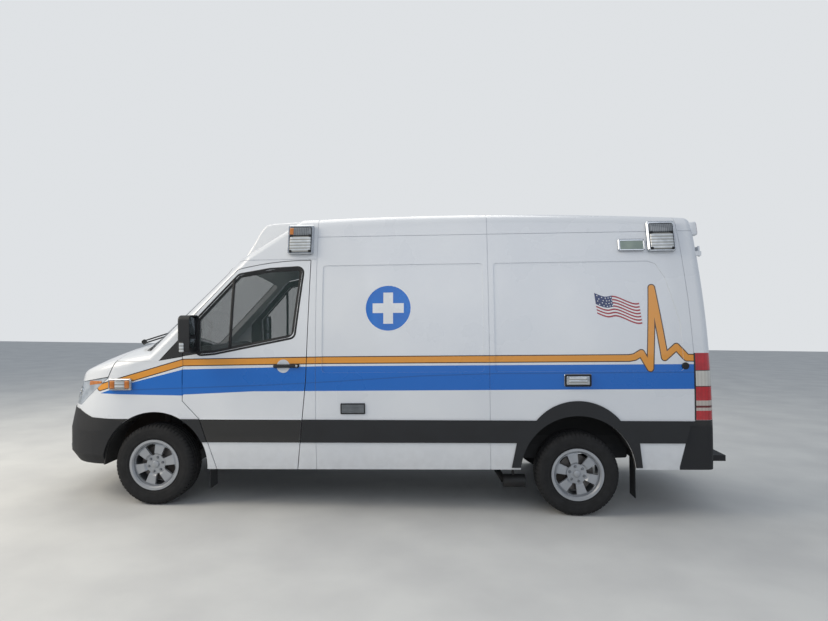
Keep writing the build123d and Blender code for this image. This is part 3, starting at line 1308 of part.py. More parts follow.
tyre_points = TYRE_HALF + tuple((-y, r) for y, r in reversed(TYRE_HALF[1:]))
TYRE = wheel_ring(tyre_points)
with BuildPart() as rim:
    add(wheel_ring(RIM_SECTION))
    add(wheel_ring(RIM_FACE))
    add(wheel_ring(((-10, 0), (-10, 150), (12, 150), (12, 85), (61, 85), (61, 0))))
    with BuildSketch(Plane.XZ.offset(RIM_FACE_OUT + 2)):
        with PolarLocations(0, SPOKES):
            Polygon(*RIM_WINDOW, align=None)
    extrude(amount=-40, mode=Mode.SUBTRACT)
    with BuildSketch(Plane.XZ.offset(RIM_FACE_OUT + 2)):
        with PolarLocations(LUGS[0], SPOKES, start_angle=30):
            Circle(LUGS[1])
    extrude(amount=-30, mode=Mode.SUBTRACT)
    with BuildSketch(Plane.XZ.offset(-20)):
        Circle(SPINDLE_R + HUB_GAP)
    extrude(amount=72, mode=Mode.SUBTRACT)


def wheel_at(piece, axle, half, turn=0):
    """A wheel's piece moved to its place on the left, turned by an angle about its axle."""
    return piece.moved(Location((axle[0], -half, axle[1]), (0, turn, 0)))


with BuildPart() as tyre_front_left:
    add(wheel_at(TYRE, FRONT_AXLE, FRONT_TRACK / 2))
with BuildPart() as tyre_front_right:
    mirror(tyre_front_left.part, about=Plane.XZ)
with BuildPart() as tyre_rear_left:
    add(wheel_at(TYRE, REAR_AXLE, REAR_TRACK / 2))
with BuildPart() as tyre_rear_right:
    mirror(tyre_rear_left.part, about=Plane.XZ)
with BuildPart() as rim_front_left:
    add(wheel_at(rim.part, FRONT_AXLE, FRONT_TRACK / 2, FRONT_SPOKE_TURN))
with BuildPart() as rim_front_right:
    mirror(rim_front_left.part, about=Plane.XZ)
with BuildPart() as rim_rear_left:
    add(wheel_at(rim.part, REAR_AXLE, REAR_TRACK / 2, REAR_SPOKE_TURN))
with BuildPart() as rim_rear_right:
    mirror(rim_rear_left.part, about=Plane.XZ)

# Stance: tipped nose-down and centred between the bumper's face and the step's edge
RAKE = radians(RAKE_DEG)
FRONT_END = BUMPER_X * cos(RAKE) - BUMPER_BEND_Z * sin(RAKE)
REAR_END = STEP[0][1] * cos(RAKE) - STEP[2][0] * sin(RAKE)
STAND = Location((-(FRONT_END + REAR_END) / 2, 0, 0), (0, -RAKE_DEG, 0))

PIECES = (
    ("chassis_frame", chassis_frame), ("floor", floor), ("left_side_panel", left_side_panel),
    ("right_side_panel", right_side_panel), ("sliding_door", sliding_door), ("roof", roof),
    ("cab_roof", cab_roof), ("cab_frame", cab_frame), ("rear_frame", rear_frame),
    ("front_fenders", front_fenders), ("hood", hood), ("body_glass", body_glass),
    ("cab_door_left", cab_door_left), ("cab_door_right", cab_door_right),
    ("cab_glass_left", cab_glass_left), ("cab_glass_right", cab_glass_right),
    ("mirror_left", mirror_left), ("mirror_right", mirror_right), ("rear_door_left", rear_door_left),
    ("rear_door_right", rear_door_right), ("rear_glass_left", rear_glass_left),
    ("rear_glass_right", rear_glass_right), ("front_bumper", front_bumper), ("grille", grille),
    ("headlamps", headlamps), ("tail_lamps", tail_lamps), ("rear_bumper", rear_bumper),
    ("side_mouldings", side_mouldings), ("warning_lamps", warning_lamps), ("side_lamps", side_lamps),
    ("dashboard", dashboard), ("seats", seats), ("partition", partition), ("cabinets", cabinets),
    ("engine_block", engine_block), ("front_axle", front_axle), ("knuckle_left", knuckle_left),
    ("knuckle_right", knuckle_right), ("rear_axle", rear_axle), ("steering_wheel", steering_wheel),
    ("tyre_front_left", tyre_front_left), ("tyre_front_right", tyre_front_right),
    ("tyre_rear_left", tyre_rear_left), ("tyre_rear_right", tyre_rear_right),
    ("rim_front_left", rim_front_left), ("rim_front_right", rim_front_right),
    ("rim_rear_left", rim_rear_left), ("rim_rear_right", rim_rear_right),
)
for name, piece in PIECES:
    piece.part = piece.part.moved(STAND)
    piece.part.label = name
    export_step(piece.part, "parts/" + name + ".step")
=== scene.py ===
import bmesh
import bpy
from math import atan2, cos, pi, radians, sin, tan
from mathutils import Matrix, Vector
from mathutils.bvhtree import BVHTree


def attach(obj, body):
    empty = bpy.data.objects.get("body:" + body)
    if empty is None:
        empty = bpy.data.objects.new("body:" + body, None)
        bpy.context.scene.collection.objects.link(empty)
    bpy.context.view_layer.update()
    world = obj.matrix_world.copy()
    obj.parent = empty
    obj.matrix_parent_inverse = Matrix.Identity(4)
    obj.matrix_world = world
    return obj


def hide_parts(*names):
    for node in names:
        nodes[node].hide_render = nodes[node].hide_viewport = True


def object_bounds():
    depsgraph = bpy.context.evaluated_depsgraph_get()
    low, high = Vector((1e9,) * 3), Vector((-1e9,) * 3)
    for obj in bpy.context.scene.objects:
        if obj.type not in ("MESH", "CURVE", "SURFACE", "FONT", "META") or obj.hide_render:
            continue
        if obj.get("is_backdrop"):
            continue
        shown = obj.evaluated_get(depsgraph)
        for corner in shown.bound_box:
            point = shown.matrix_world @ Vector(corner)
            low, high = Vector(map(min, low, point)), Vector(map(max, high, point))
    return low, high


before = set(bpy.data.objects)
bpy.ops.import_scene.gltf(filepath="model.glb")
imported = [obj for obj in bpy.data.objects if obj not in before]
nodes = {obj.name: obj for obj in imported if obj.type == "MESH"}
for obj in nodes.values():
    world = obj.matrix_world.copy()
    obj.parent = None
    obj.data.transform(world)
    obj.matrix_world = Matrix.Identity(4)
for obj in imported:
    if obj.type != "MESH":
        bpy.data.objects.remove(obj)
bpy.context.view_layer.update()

# Camera, floor and studio light. The camera stands off the van's left side at a standing person's eye
# height. The floor is plain pale concrete, and the soft light comes most from above and ahead, so that
# the side lies in a light shade as on a clear morning.
# The body stands nose-down by RAKE, and its front axle is AXLE_AHEAD metres ahead of the frame's middle
RAKE = radians(1.2)
AXLE_AHEAD = 1.974646


def place(x, y, z):
    """Point level with the body, in mm from above the front axle, carried into the van's frame in metres."""
    along = x * cos(RAKE) - z * sin(RAKE)
    aloft = x * sin(RAKE) + z * cos(RAKE)
    return Vector((along / 1000 - AXLE_AHEAD, y / 1000, aloft / 1000))


def local_frame(origin, u, v, w):
    """Matrix of a frame that stands at a point, from its three directions."""
    return Matrix.Translation(origin) @ Matrix((u, v, w)).transposed().to_4x4()


scene = bpy.context.scene
cam_data = bpy.data.cameras.new("camera")
cam_data.sensor_width = 36
cam_data.lens = 26.585
cam_data.clip_end = 200
camera = bpy.data.objects.new("camera", cam_data)
scene.collection.objects.link(camera)
scene.camera = camera
yaw, pitch, roll = -0.0508, 0.013, 0.0104
ahead = Vector((sin(yaw) * cos(pitch), cos(yaw) * cos(pitch), sin(pitch)))
aside = Vector((cos(yaw), -sin(yaw), 0))
upright = aside.cross(ahead)
right = aside * cos(roll) + upright * sin(roll)
top = upright * cos(roll) - aside * sin(roll)
camera.matrix_world = local_frame((2.5318 - AXLE_AHEAD, -6.2133, 1.6579), right, top, -ahead)
scene.view_settings.view_transform = "Standard"


def linear(hex_colour):
    """sRGB hex to a linear colour."""
    parts = [int(hex_colour[i:i + 2], 16) / 255 for i in (0, 2, 4)]
    return tuple(c / 12.92 if c < 0.04045 else ((c + 0.055) / 1.055) ** 2.4 for c in parts) + (1,)


def add_node(tree, kind, values=None, **settings):
    """Adds a node, sets it, and gives its sockets their numbers, hex colours or another node's output."""
    node = tree.nodes.new(kind)
    for name, value in settings.items():
        setattr(node, name, value)
    for key, value in (values or {}).items():
        if isinstance(value, bpy.types.NodeSocket):
            tree.links.new(value, node.inputs[key])
        else:
            node.inputs[key].default_value = linear(value) if isinstance(value, str) else value
    return node


def finish(name, colour, second, roughness, patch_mm, grain_mm, depth_mm, **sockets):
    """Material of two near colours in soft patches with a fine relief; its shine varies with the patches."""
    material = bpy.data.materials.new(name)
    material.use_nodes = True
    tree = material.node_tree
    shader = tree.nodes["Principled BSDF"]
    for key, value in sockets.items():
        shader.inputs[key.replace("_", " ")].default_value = value
    where = add_node(tree, "ShaderNodeTexCoord").outputs["Object"]
    patches = add_node(
        tree, "ShaderNodeTexNoise", {"Vector": where, "Scale": 1000 / patch_mm, "Detail": 5.0},
    ).outputs["Fac"]
    spread = add_node(
        tree, "ShaderNodeMapRange", {"Value": patches, "From Min": 0.35, "From Max": 0.65},
    ).outputs[0]
    tint = add_node(tree, "ShaderNodeMix", {0: spread, 6: colour, 7: second}, data_type="RGBA").outputs[2]
    dullest = min(1.0, roughness * 1.25)
    shine = add_node(
        tree, "ShaderNodeMapRange", {"Value": spread, "To Min": roughness, "To Max": dullest},
    ).outputs[0]
    relief = add_node(
        tree, "ShaderNodeTexNoise", {"Vector": where, "Scale": 1000 / grain_mm, "Detail": 2.0},
    ).outputs["Fac"]
    bump = add_node(tree, "ShaderNodeBump", {"Height": relief, "Distance": depth_mm / 1000, "Strength": 0.8})
    tree.links.new(tint, shader.inputs["Base Color"])
    tree.links.new(shine, shader.inputs["Roughness"])
    tree.links.new(bump.outputs[0], shader.inputs["Normal"])
    return material, tree, shader


floor_mat, tree, shader = finish("pale concrete", "C2C2C0", "CDCDCA", 0.85, 700, 4, 0.2)
bpy.ops.mesh.primitive_plane_add(size=60, location=(0, 0, 0))
floor = bpy.context.object
floor.name = "studio_floor"
floor.data.materials.append(floor_mat)
floor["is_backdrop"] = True
world = bpy.data.worlds.new("studio")
scene.world = world
world.use_nodes = True
tree = world.node_tree
path = add_node(tree, "ShaderNodeLightPath").outputs
seen = add_node(
    tree, "ShaderNodeMath", {0: path["Is Camera Ray"], 1: path["Is Transmission Ray"]}, operation="MAXIMUM",
)
tree.nodes["Background"].inputs["Color"].default_value = linear("DDE6F2")
tree.nodes["Background"].inputs["Strength"].default_value = 0.62
backdrop = add_node(tree, "ShaderNodeBackground", {"Color": "E4E7EA", "Strength": 0.95})
both = add_node(tree, "ShaderNodeMixShader", {0: seen.outputs[0]})
tree.links.new(tree.nodes["Background"].outputs[0], both.inputs[1])
tree.links.new(backdrop.outputs[0], both.inputs[2])
tree.links.new(both.outputs[0], tree.nodes["World Output"].inputs["Surface"])
for name, where, size, power, tint in (
    ("front panel", (-7.0, -3.0, 5.5), 5.0, 420, "FFF4E2"),
    ("side panel", (2.0, -9.5, 5.0), 7.0, 150, "F2F6FF"),
    ("top panel", (-1.0, 3.0, 8.0), 7.0, 300, "FFFBF2"),
):
    lamp = bpy.data.lights.new(name, "AREA")
    lamp.size = size
    lamp.energy = power
    lamp.color = linear(tint)[:3]
    lamp_object = bpy.data.objects.new(name, lamp)
    lamp_object.location = where
    lamp_object.rotation_mode = "QUATERNION"
    lamp_object.rotation_quaternion = (Vector(where) - Vector((0, 0, 1))).to_track_quat("Z", "Y")
    scene.collection.objects.link(lamp_object)


def coat(material, *names):
    """Gives CAD nodes their material."""
    for name in names:
        nodes[name].data.materials.clear()
        nodes[name].data.materials.append(material)


def level_axes(tree):
    """Sockets of x, |y| and z in mm, level with the body, and of the point (x, 0, z)."""
    place_in = add_node(tree, "ShaderNodeTexCoord").outputs["Object"]
    axes = add_node(tree, "ShaderNodeSeparateXYZ", {0: place_in}).outputs
    shifted = add_node(tree, "ShaderNodeMath", {0: axes["X"], 1: AXLE_AHEAD}, operation="ADD").outputs[0]
    sockets = []
    for along, aloft in ((1000 * cos(RAKE), 1000 * sin(RAKE)), (-1000 * sin(RAKE), 1000 * cos(RAKE))):
        part = add_node(tree, "ShaderNodeMath", {0: axes["Z"], 1: aloft}, operation="MULTIPLY").outputs[0]
        sockets.append(add_node(
            tree, "ShaderNodeMath", {0: shifted, 1: along, 2: part}, operation="MULTIPLY_ADD",
        ).outputs[0])
    x, z = sockets
    out = add_node(tree, "ShaderNodeMath", {0: axes["Y"]}, operation="ABSOLUTE").outputs[0]
    y = add_node(tree, "ShaderNodeMath", {0: out, 1: 1000.0}, operation="MULTIPLY").outputs[0]
    return x, y, z, add_node(tree, "ShaderNodeCombineXYZ", {"X": x, "Z": z}).outputs[0]


def mask_of(tree, *tests):
    """1 where every test holds. A test is a mask, or a value with a low and a high limit, None for no limit."""
    result = None
    for test in tests:
        masks = [test]
        if isinstance(test, tuple):
            value, low, high = test
            masks = [
                add_node(tree, "ShaderNodeMath", {0: value, 1: float(limit)}, operation=kind).outputs[0]
                for limit, kind in ((low, "GREATER_THAN"), (high, "LESS_THAN")) if limit is not None
            ]
        for mask in masks:
            result = mask if result is None else add_node(
                tree, "ShaderNodeMath", {0: result, 1: mask}, operation="MULTIPLY",
            ).outputs[0]
    return result


def area(tree, point, corners):
    """1 within a convex outline of (x, z) corners in mm, anticlockwise seen from the left side."""
    sides = []
    for (xa, za), (xb, zb) in zip(corners, corners[1:] + corners[:1]):
        across = add_node(
            tree, "ShaderNodeVectorMath", {0: point, 1: (za - zb, 0, xb - xa)}, operation="DOT_PRODUCT",
        ).outputs["Value"]
        sides.append((across, xa * (za - zb) + za * (xb - xa), None))
    return mask_of(tree, *sides)


def off_line(tree, point, line):
    """Distance in mm from a line of (x, z) points."""
    least = None
    for (xa, za), (xb, zb) in zip(line, line[1:]):
        run = Vector((xb - xa, 0, zb - za))
        from_start = add_node(
            tree, "ShaderNodeVectorMath", {0: point, 1: (xa, 0, za)}, operation="SUBTRACT",
        ).outputs[0]
        share = add_node(
            tree, "ShaderNodeVectorMath", {0: from_start, 1: run / run.length_squared}, operation="DOT_PRODUCT",
        ).outputs["Value"]
        share = add_node(tree, "ShaderNodeClamp", {"Value": share}).outputs[0]
        foot = add_node(
            tree, "ShaderNodeVectorMath", {0: run, "Scale": share}, operation="SCALE",
        ).outputs[0]
        gap = add_node(
            tree, "ShaderNodeVectorMath", {0: from_start, 1: foot}, operation="DISTANCE",
        ).outputs["Value"]
        least = gap if least is None else add_node(
            tree, "ShaderNodeMath", {0: least, 1: gap}, operation="MINIMUM",
        ).outputs[0]
    return least


def paint_over(tree, shader, colour, *tests, roughness=None):
    """Lays a colour, and a roughness if given, over what a shader has so far, where every test holds."""
    mask = mask_of(tree, *tests)
    base = shader.inputs["Base Color"].links[0].from_socket
    mix = add_node(tree, "ShaderNodeMix", {0: mask, 6: base, 7: colour}, data_type="RGBA")
    tree.links.new(mix.outputs[2], shader.inputs["Base Color"])
    if roughness is not None:
        base = shader.inputs["Roughness"].links[0].from_socket
        mix = add_node(tree, "ShaderNodeMix", {0: mask, 2: base, 3: roughness})
        tree.links.new(mix.outputs[0], shader.inputs["Roughness"])


# All of these are in mm, level with the body, as (x, z)
OCHRE_LINE = [
    (-492, 1028), (282, 1247), (1500, 1258), (4110, 1258), (4155, 1266), (4212, 1300), (4283, 1172),
    (4321, 1850), (4404, 1262), (4502, 1350), (4582, 1258), (4700, 1256),
]
BLUE_AREAS = (
    [(-487, 978), (282, 960), (282, 1187), (-151, 1081)],
    [(282, 968), (900, 994), (900, 1197), (282, 1187)],
    [(900, 994), (4700, 997), (4700, 1204), (1500, 1207), (900, 1197)],
)
# PRESS_LINE runs along the pressed crease in the blue band, where a thin line of shade is painted
PRESS_LINE = [(-250, 1010), (1050, 1048), (1702, 1080), (2347, 1118), (3000, 1135), (4650, 1137)]
BLACK_AREAS = (
    [(-500, 557), (4700, 542), (4700, 727), (-500, 760)],
    [(60, 1262), (275, 1296), (275, 1490)],
    [(4641, 200), (4900, 200), (4900, 737), (4641, 737)],
)
MIRROR_CORNER = [(275, 1300), (412, 1322), (412, 1640), (275, 1500)]
# Each pit is x and z of its middle and its radius, and reaches outward to PIT_OUT
WHEEL_PITS = ((7, 351, 474), (3672, 274, 515))
PIT_OUT = 951
OCHRE_HALF = 24.5
OCHRE_EDGE_HALF = 33
CREASE_SHADE_HALF = 5
DUST_STARTS, DUST_FULL = 620.0, 330.0
DUST_PATCH = 83.333


def body_paint(name, striped, blacks, lined=False):
    """White enamel, with the stripes and a grey lining on its inner face if wanted, and with black areas."""
    material, tree, shader = finish(
        name, "D6D9DD", "DFE1E3", 0.26, 900, 2.5, 0.01, Coat_Weight=0.5, Coat_Roughness=0.06,
    )
    x, y, z, point = level_axes(tree)
    coords = add_node(tree, "ShaderNodeTexCoord").outputs
    turned = add_node(
        tree, "ShaderNodeVectorMath", {0: coords["Normal"], 1: coords["Object"]}, operation="MULTIPLY",
    ).outputs[0]
    facing = add_node(tree, "ShaderNodeSeparateXYZ", {0: turned}).outputs["Y"]
    flank = mask_of(tree, (y, 700, None), (facing, 0.08, None))
    if lined:
        paint_over(tree, shader, "3F4246", (facing, None, -0.3), roughness=0.7)
    if striped:
        for corners in BLUE_AREAS:
            paint_over(tree, shader, "0A66BE", area(tree, point, corners), flank)
        gap = off_line(tree, point, OCHRE_LINE)
        paint_over(tree, shader, "3A2A1C", (gap, None, OCHRE_EDGE_HALF), flank)
        paint_over(tree, shader, "DE9430", (gap, None, OCHRE_HALF), flank)
        # Painted shade: a faint dark navy line along the pressed crease, for the shade that lies in it
        crease = mask_of(tree, (off_line(tree, point, PRESS_LINE), None, CREASE_SHADE_HALF), flank)
        shade = add_node(tree, "ShaderNodeMath", {0: crease, 1: 0.28}, operation="MULTIPLY").outputs[0]
        paint_over(tree, shader, "10233C", shade)
    for corners in blacks:
        paint_over(tree, shader, "0A0A0B", area(tree, point, corners), flank, roughness=0.65)
    for x_mid, z_mid, reach in WHEEL_PITS:
        from_hub = add_node(
            tree, "ShaderNodeVectorMath", {0: point, 1: (x_mid, 0, z_mid)}, operation="DISTANCE",
        ).outputs["Value"]
        paint_over(tree, shader, "101113", (from_hub, None, reach), (y, None, PIT_OUT), roughness=0.8)
    dust = add_node(
        tree, "ShaderNodeMapRange",
        {"Value": z, "From Min": DUST_STARTS, "From Max": DUST_FULL, "To Max": 0.35},
    ).outputs[0]
    blotch = add_node(
        tree, "ShaderNodeTexNoise", {"Vector": point, "Scale": 1 / DUST_PATCH, "Detail": 6.0},
    ).outputs["Fac"]
    paint_over(tree, shader, "77726A", dust, blotch, roughness=0.55)
    return material


coat(
    body_paint("white enamel with stripe film", True, BLACK_AREAS),
    "left_side_panel", "right_side_panel", "sliding_door", "cab_frame", "rear_frame", "front_fenders",
)
coat(
    body_paint("white enamel on the cab doors", True, BLACK_AREAS + (MIRROR_CORNER,), True),
    "cab_door_left", "cab_door_right",
)
coat(body_paint("white enamel", False, ()), "roof", "cab_roof", "hood", "rear_door_left", "rear_door_right")

# Medical emblem and waving flag: cut vinyl film laid on the paint, a fraction of a millimetre thick and
# a little glossier than it. Each is laid point by point on the curved steel.
AFT = (place(1000, 0, 0) - place(0, 0, 0)).normalized()
UP = (place(0, 0, 1000) - place(0, 0, 0)).normalized()
SIDES = (("left", -1), ("right", 1))


def skin_of(*names):
    """Searchable surface of CAD nodes."""
    joined = bmesh.new()
    for name in names:
        joined.from_mesh(nodes[name].data)
    tree = BVHTree.FromBMesh(joined)
    joined.free()
    return tree


def view_plane(side):
    """Upright plane on the centre line: u aft, v up, w out to the left (-1) or the right (1)."""
    return local_frame(place(0, 0, 0), AFT, UP, Vector((0, side, 0)))


def on_skin(skin, plane, u, v, lift, reach=1600):
    """Point of a surface at (u, v) mm on a plane, found along its w from reach mm off, raised by lift mm."""
    out = (plane.to_3x3() @ Vector((0, 0, 1))).normalized()
    start = plane @ Vector((u / 1000, v / 1000, reach / 1000))
    return skin.ray_cast(start, -out)[0] + out * lift / 1000


def laid(bm, skin, plane, rows, lift, material=0):
    """Film over a surface through rows of (u, v) points in mm on a plane."""
    grid = [[bm.verts.new(on_skin(skin, plane, u, v, lift)) for u, v in row] for row in rows]
    for low, high in zip(grid, grid[1:]):
        for i in range(len(low) - 1):
            bm.faces.new((low[i], low[i + 1], high[i + 1], high[i])).material_index = material


def new_piece(name, bm, body, slot, *materials, sharp=30):
    """Object of a finished mesh that rides on a body; edges sharper than so many degrees stay crisp."""
    bmesh.ops.recalc_face_normals(bm, faces=bm.faces)
    mesh = bpy.data.meshes.new(name)
    bm.to_mesh(mesh)
    bm.free()
    mesh.shade_smooth()
    mesh.set_sharp_from_angle(angle=radians(sharp))
    for material in materials:
        mesh.materials.append(material)
    piece = bpy.data.objects.new(name, mesh)
    scene.collection.objects.link(piece)
    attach(piece, body)
    return piece


def disc_rows(u, v, radii, count=40):
    """Rings of points about a centre, closed, for laying a round."""
    turns = [2 * pi * i / count for i in range(count + 1)]
    return [[(u + r * cos(turn), v + r * sin(turn)) for turn in turns] for r in radii]


def patch_rows(u_low, u_high, v_low, v_high, step):
    """Rows of points over a rectangle at about a step."""
    across = max(1, round((u_high - u_low) / step))
    up = max(1, round((v_high - v_low) / step))
    us = [u_low + (u_high - u_low) * i / across for i in range(across + 1)]
    return [[(u, v_low + (v_high - v_low) * j / up) for u in us] for j in range(up + 1)]


blue_film, white_film, red_film, navy_film = (
    finish(tint + " vinyl film", first, second, shine, 160, 3, 0.01, Coat_Weight=0.3)[0]
    for tint, first, second, shine in (
        ("blue", "0A64BC", "126EC6", 0.22), ("white", "DADCDE", "E4E5E6", 0.25),
        ("red", "96242E", "A32C34", 0.25), ("navy", "1F2E58", "26366A", 0.25),
    )
)
steel = skin_of(
    "left_side_panel", "right_side_panel", "sliding_door", "cab_frame", "rear_frame", "front_fenders", "roof",
    "cab_roof",
)
EMBLEM_R, EMBLEM_Z, EMBLEM_RIM = 195, 1702, 9
ARM, ARM_HALF = 135, 42
FLAG_X, FLAG_Z = 3838, 1812
FLAG_LONG, FLAG_TALL, FLAG_LEAN, FLAG_DROP = 372, 178, 20, 88
STRIPES = 13
FLAG_STEPS = 24


def flag_point(edge, step):
    """Point of the waving flag in mm: edge counts stripes down from the top, step runs from staff to fly."""
    down, t = edge / STRIPES, step / FLAG_STEPS
    wave = sin(3 * pi * t)
    return (
        FLAG_X + FLAG_LEAN * down + FLAG_LONG * t + 14 * wave,
        FLAG_Z - FLAG_TALL * down - FLAG_DROP * t - 16 * wave,
    )


for label, side, emblem_x in (("left", -1, 2076), ("right", 1, 3330)):
    plane = view_plane(side)
    bm = bmesh.new()
    laid(bm, steel, plane, disc_rows(emblem_x, EMBLEM_Z, (12, 60, 110, 150, EMBLEM_R)), 0.9, 0)
    laid(bm, steel, plane, disc_rows(emblem_x, EMBLEM_Z, (EMBLEM_R, EMBLEM_R + EMBLEM_RIM)), 0.7, 1)
    for half_u, low, high in (
        (ARM, -ARM_HALF, ARM_HALF), (ARM_HALF, -ARM, -ARM_HALF), (ARM_HALF, ARM_HALF, ARM),
    ):
        rows = patch_rows(emblem_x - half_u, emblem_x + half_u, EMBLEM_Z + low, EMBLEM_Z + high, 28)
        laid(bm, steel, plane, rows, 1.6, 1)
    bmesh.ops.remove_doubles(bm, verts=bm.verts, dist=0.00002)
    new_piece("medical_emblem_" + label, bm, "body", "white_paint", blue_film, white_film)
    # The stripes lean back and ripple; the upper front quarter is navy with small white marks
    bm = bmesh.new()
    for stripe in range(STRIPES):
        rows = [[flag_point(edge, i) for i in range(FLAG_STEPS + 1)] for edge in (stripe, stripe + 1)]
        laid(bm, steel, plane, rows, 0.9, stripe % 2)
    laid(bm, steel, plane, [[flag_point(edge, i) for i in range(11)] for edge in range(8)], 1.5, 2)
    for i in range(1, 10, 2):
        for j in range(4):
            u, v = flag_point(1 + 1.7 * j, i + (j % 2) * 0.6)
            laid(bm, steel, plane, disc_rows(u, v, (1, 5), 8), 2.0, 1)
    new_piece("flag_film_" + label, bm, "body", "white_paint", red_film, white_film, navy_film)

# Bumpers: thick moulded polypropylene in dark grey, grained so that they look dull. The bands, flares,
# grille and mirror heads are the same plastic in near black.
bumper_plastic, *_ = finish("grained grey polypropylene", "17181A", "1E1F22", 0.62, 240, 1.6, 0.15)
coat(bumper_plastic, "front_bumper", "rear_bumper")
black_plastic, *_ = finish("grained black polypropylene", "151619", "1D1F22", 0.5, 220, 1.6, 0.12)
coat(black_plastic, "side_mouldings", "grille", "mirror_left", "mirror_right")

# Upper flashing lights at the roof's corners: chromed housings screwed to the steel, each with a grey
# flasher above and a clear floodlight below, between black corner blocks. The front ones have an amber
# corner. A flat grey-green floodlight stands ahead of each rear one.


def rounded(points, radius, steps=4):
    """Outline in mm with its corners rounded."""
    outline = []
    for i, point in enumerate(points):
        corner = Vector(point)
        back = Vector(points[i - 1]) - corner
        on = Vector(points[(i + 1) % len(points)]) - corner
        half = back.angle(on) / 2
        cut = min(radius / tan(half), back.length * 0.49, on.length * 0.49)
        centre = corner + (back.normalized() + on.normalized()).normalized() * cut / cos(half)
        first = corner + back.normalized() * cut - centre
        last = corner + on.normalized() * cut - centre
        start = atan2(first.y, first.x)
        sweep = (atan2(last.y, last.x) - start + pi) % (2 * pi) - pi
        for k in range(steps + 1):
            angle = start + sweep * k / steps
            outline.append((centre.x + first.length * cos(angle), centre.y + first.length * sin(angle)))
    return outline


def oblong(width, height, radius=0.0, u=0.0, v=0.0):
    """Rectangle about (u, v) in mm, its corners rounded."""
    low_u, high_u, low_v, high_v = u - width / 2, u + width / 2, v - height / 2, v + height / 2
    points = [(low_u, low_v), (high_u, low_v), (high_u, high_v), (low_u, high_v)]
    return rounded(points, radius) if radius else points


def round_of(radius, count=28, u=0.0, v=0.0, start=0.0):
    """Regular outline about (u, v) in mm."""
    turns = [start + 2 * pi * i / count for i in range(count)]
    return [(u + radius * cos(turn), v + radius * sin(turn)) for turn in turns]


def join_loops(bm, loops, material=0, ends=True):
    """Faces between closed loops of points, one after another, and over both ends if wanted."""
    count = len(loops[0])
    for low, high in zip(loops, loops[1:]):
        for i in range(count):
            j = (i + 1) % count
            bm.faces.new((low[i], low[j], high[j], high[i])).material_index = material
    if ends:
        bm.faces.new(list(reversed(loops[0]))).material_index = material
        bm.faces.new(loops[-1]).material_index = material


def loft(bm, at, outline, rings, material=0, ends=True, least=0.02):
    """Skins an outline through (inset, height) rings in mm on a local frame, never below a share of it."""
    us, vs = [u for u, v in outline], [v for u, v in outline]
    mid_u, mid_v = (max(us) + min(us)) / 2, (max(vs) + min(vs)) / 2
    half_u, half_v = (max(us) - min(us)) / 2, (max(vs) - min(vs)) / 2
    loops = []
    for inset, height in rings:
        share_u, share_v = max(least, 1 - inset / half_u), max(least, 1 - inset / half_v)
        loops.append([bm.verts.new(at @ Vector((
            (mid_u + (u - mid_u) * share_u) / 1000, (mid_v + (v - mid_v) * share_v) / 1000, height / 1000,
        ))) for u, v in outline])
    join_loops(bm, loops, material, ends)


def seat(skin, start, toward):
    """Local frame where a ray meets a surface: v as near up as it can be, w straight out of the surface."""
    hit, normal = skin.ray_cast(start, toward.normalized())[:2]
    out = normal.normalized() if normal.dot(toward) < 0 else -normal.normalized()
    along = (-AFT if abs(out.dot(UP)) > 0.9 else UP).cross(out).normalized()
    return local_frame(hit, along, out.cross(along), out)


def side_seat(skin, x, z, side):
    """Local frame on the body's side at (x, z)."""
    return seat(skin, place(x, side * 1500, z), Vector((0, -side, 0)))


def ribbed(tree, shader, colour, pitch, way, limit):
    """Lines of another colour where the ribs that are moulded into a lens stand, pitch mm apart."""
    point = level_axes(tree)[3]
    ribs = add_node(
        tree, "ShaderNodeTexWave", {"Vector": point, "Scale": pi / 10 / pitch}, bands_direction=way,
    ).outputs["Fac"]
    paint_over(tree, shader, colour, (ribs, limit, None))


chrome, *_ = finish("chromium-plated steel", "B9BCC0", "C6C9CC", 0.14, 60, 6, 0.02, Metallic=1.0)
clear_lens, tree, shader = finish(
    "clear ribbed polycarbonate", "B9BEC2", "CDD1D3", 0.1, 45, 6, 0.2, Coat_Weight=1.0, Coat_Roughness=0.03,
)
ribbed(tree, shader, "8D8C86", 26.18, "Z", 0.72)
grey_lens, tree, shader = finish(
    "smoked ribbed polycarbonate", "565A5E", "6C7074", 0.12, 40, 6, 0.2, Coat_Weight=1.0, Coat_Roughness=0.03,
)
ribbed(tree, shader, "7F8386", 15.708, "X", 0.7)
amber_lens, *_ = finish("amber polycarbonate", "B4661E", "C77A2B", 0.12, 40, 5, 0.2, Coat_Weight=1.0)
flood_lens, *_ = finish("grey-green frosted acrylic", "7E8C84", "8D9A90", 0.35, 70, 3, 0.1)
red_lens, *_ = finish("red polycarbonate", "7C0E16", "92141D", 0.12, 60, 5, 0.2, Coat_Weight=1.0)
rubber, *_ = finish("black rubber", "141517", "1C1D1F", 0.65, 90, 2, 0.1)
coat(chrome, "warning_lamps", "side_lamps")
lamp_skin = skin_of("warning_lamps", "side_lamps")
UPPER_LIGHTS = (
    # x and z of the middle, width, height, which corner is amber (-1 the front, 0 none)
    (1300, 2315, 222, 262, -1),
    (4424, 2291, 228, 262, 0),
)
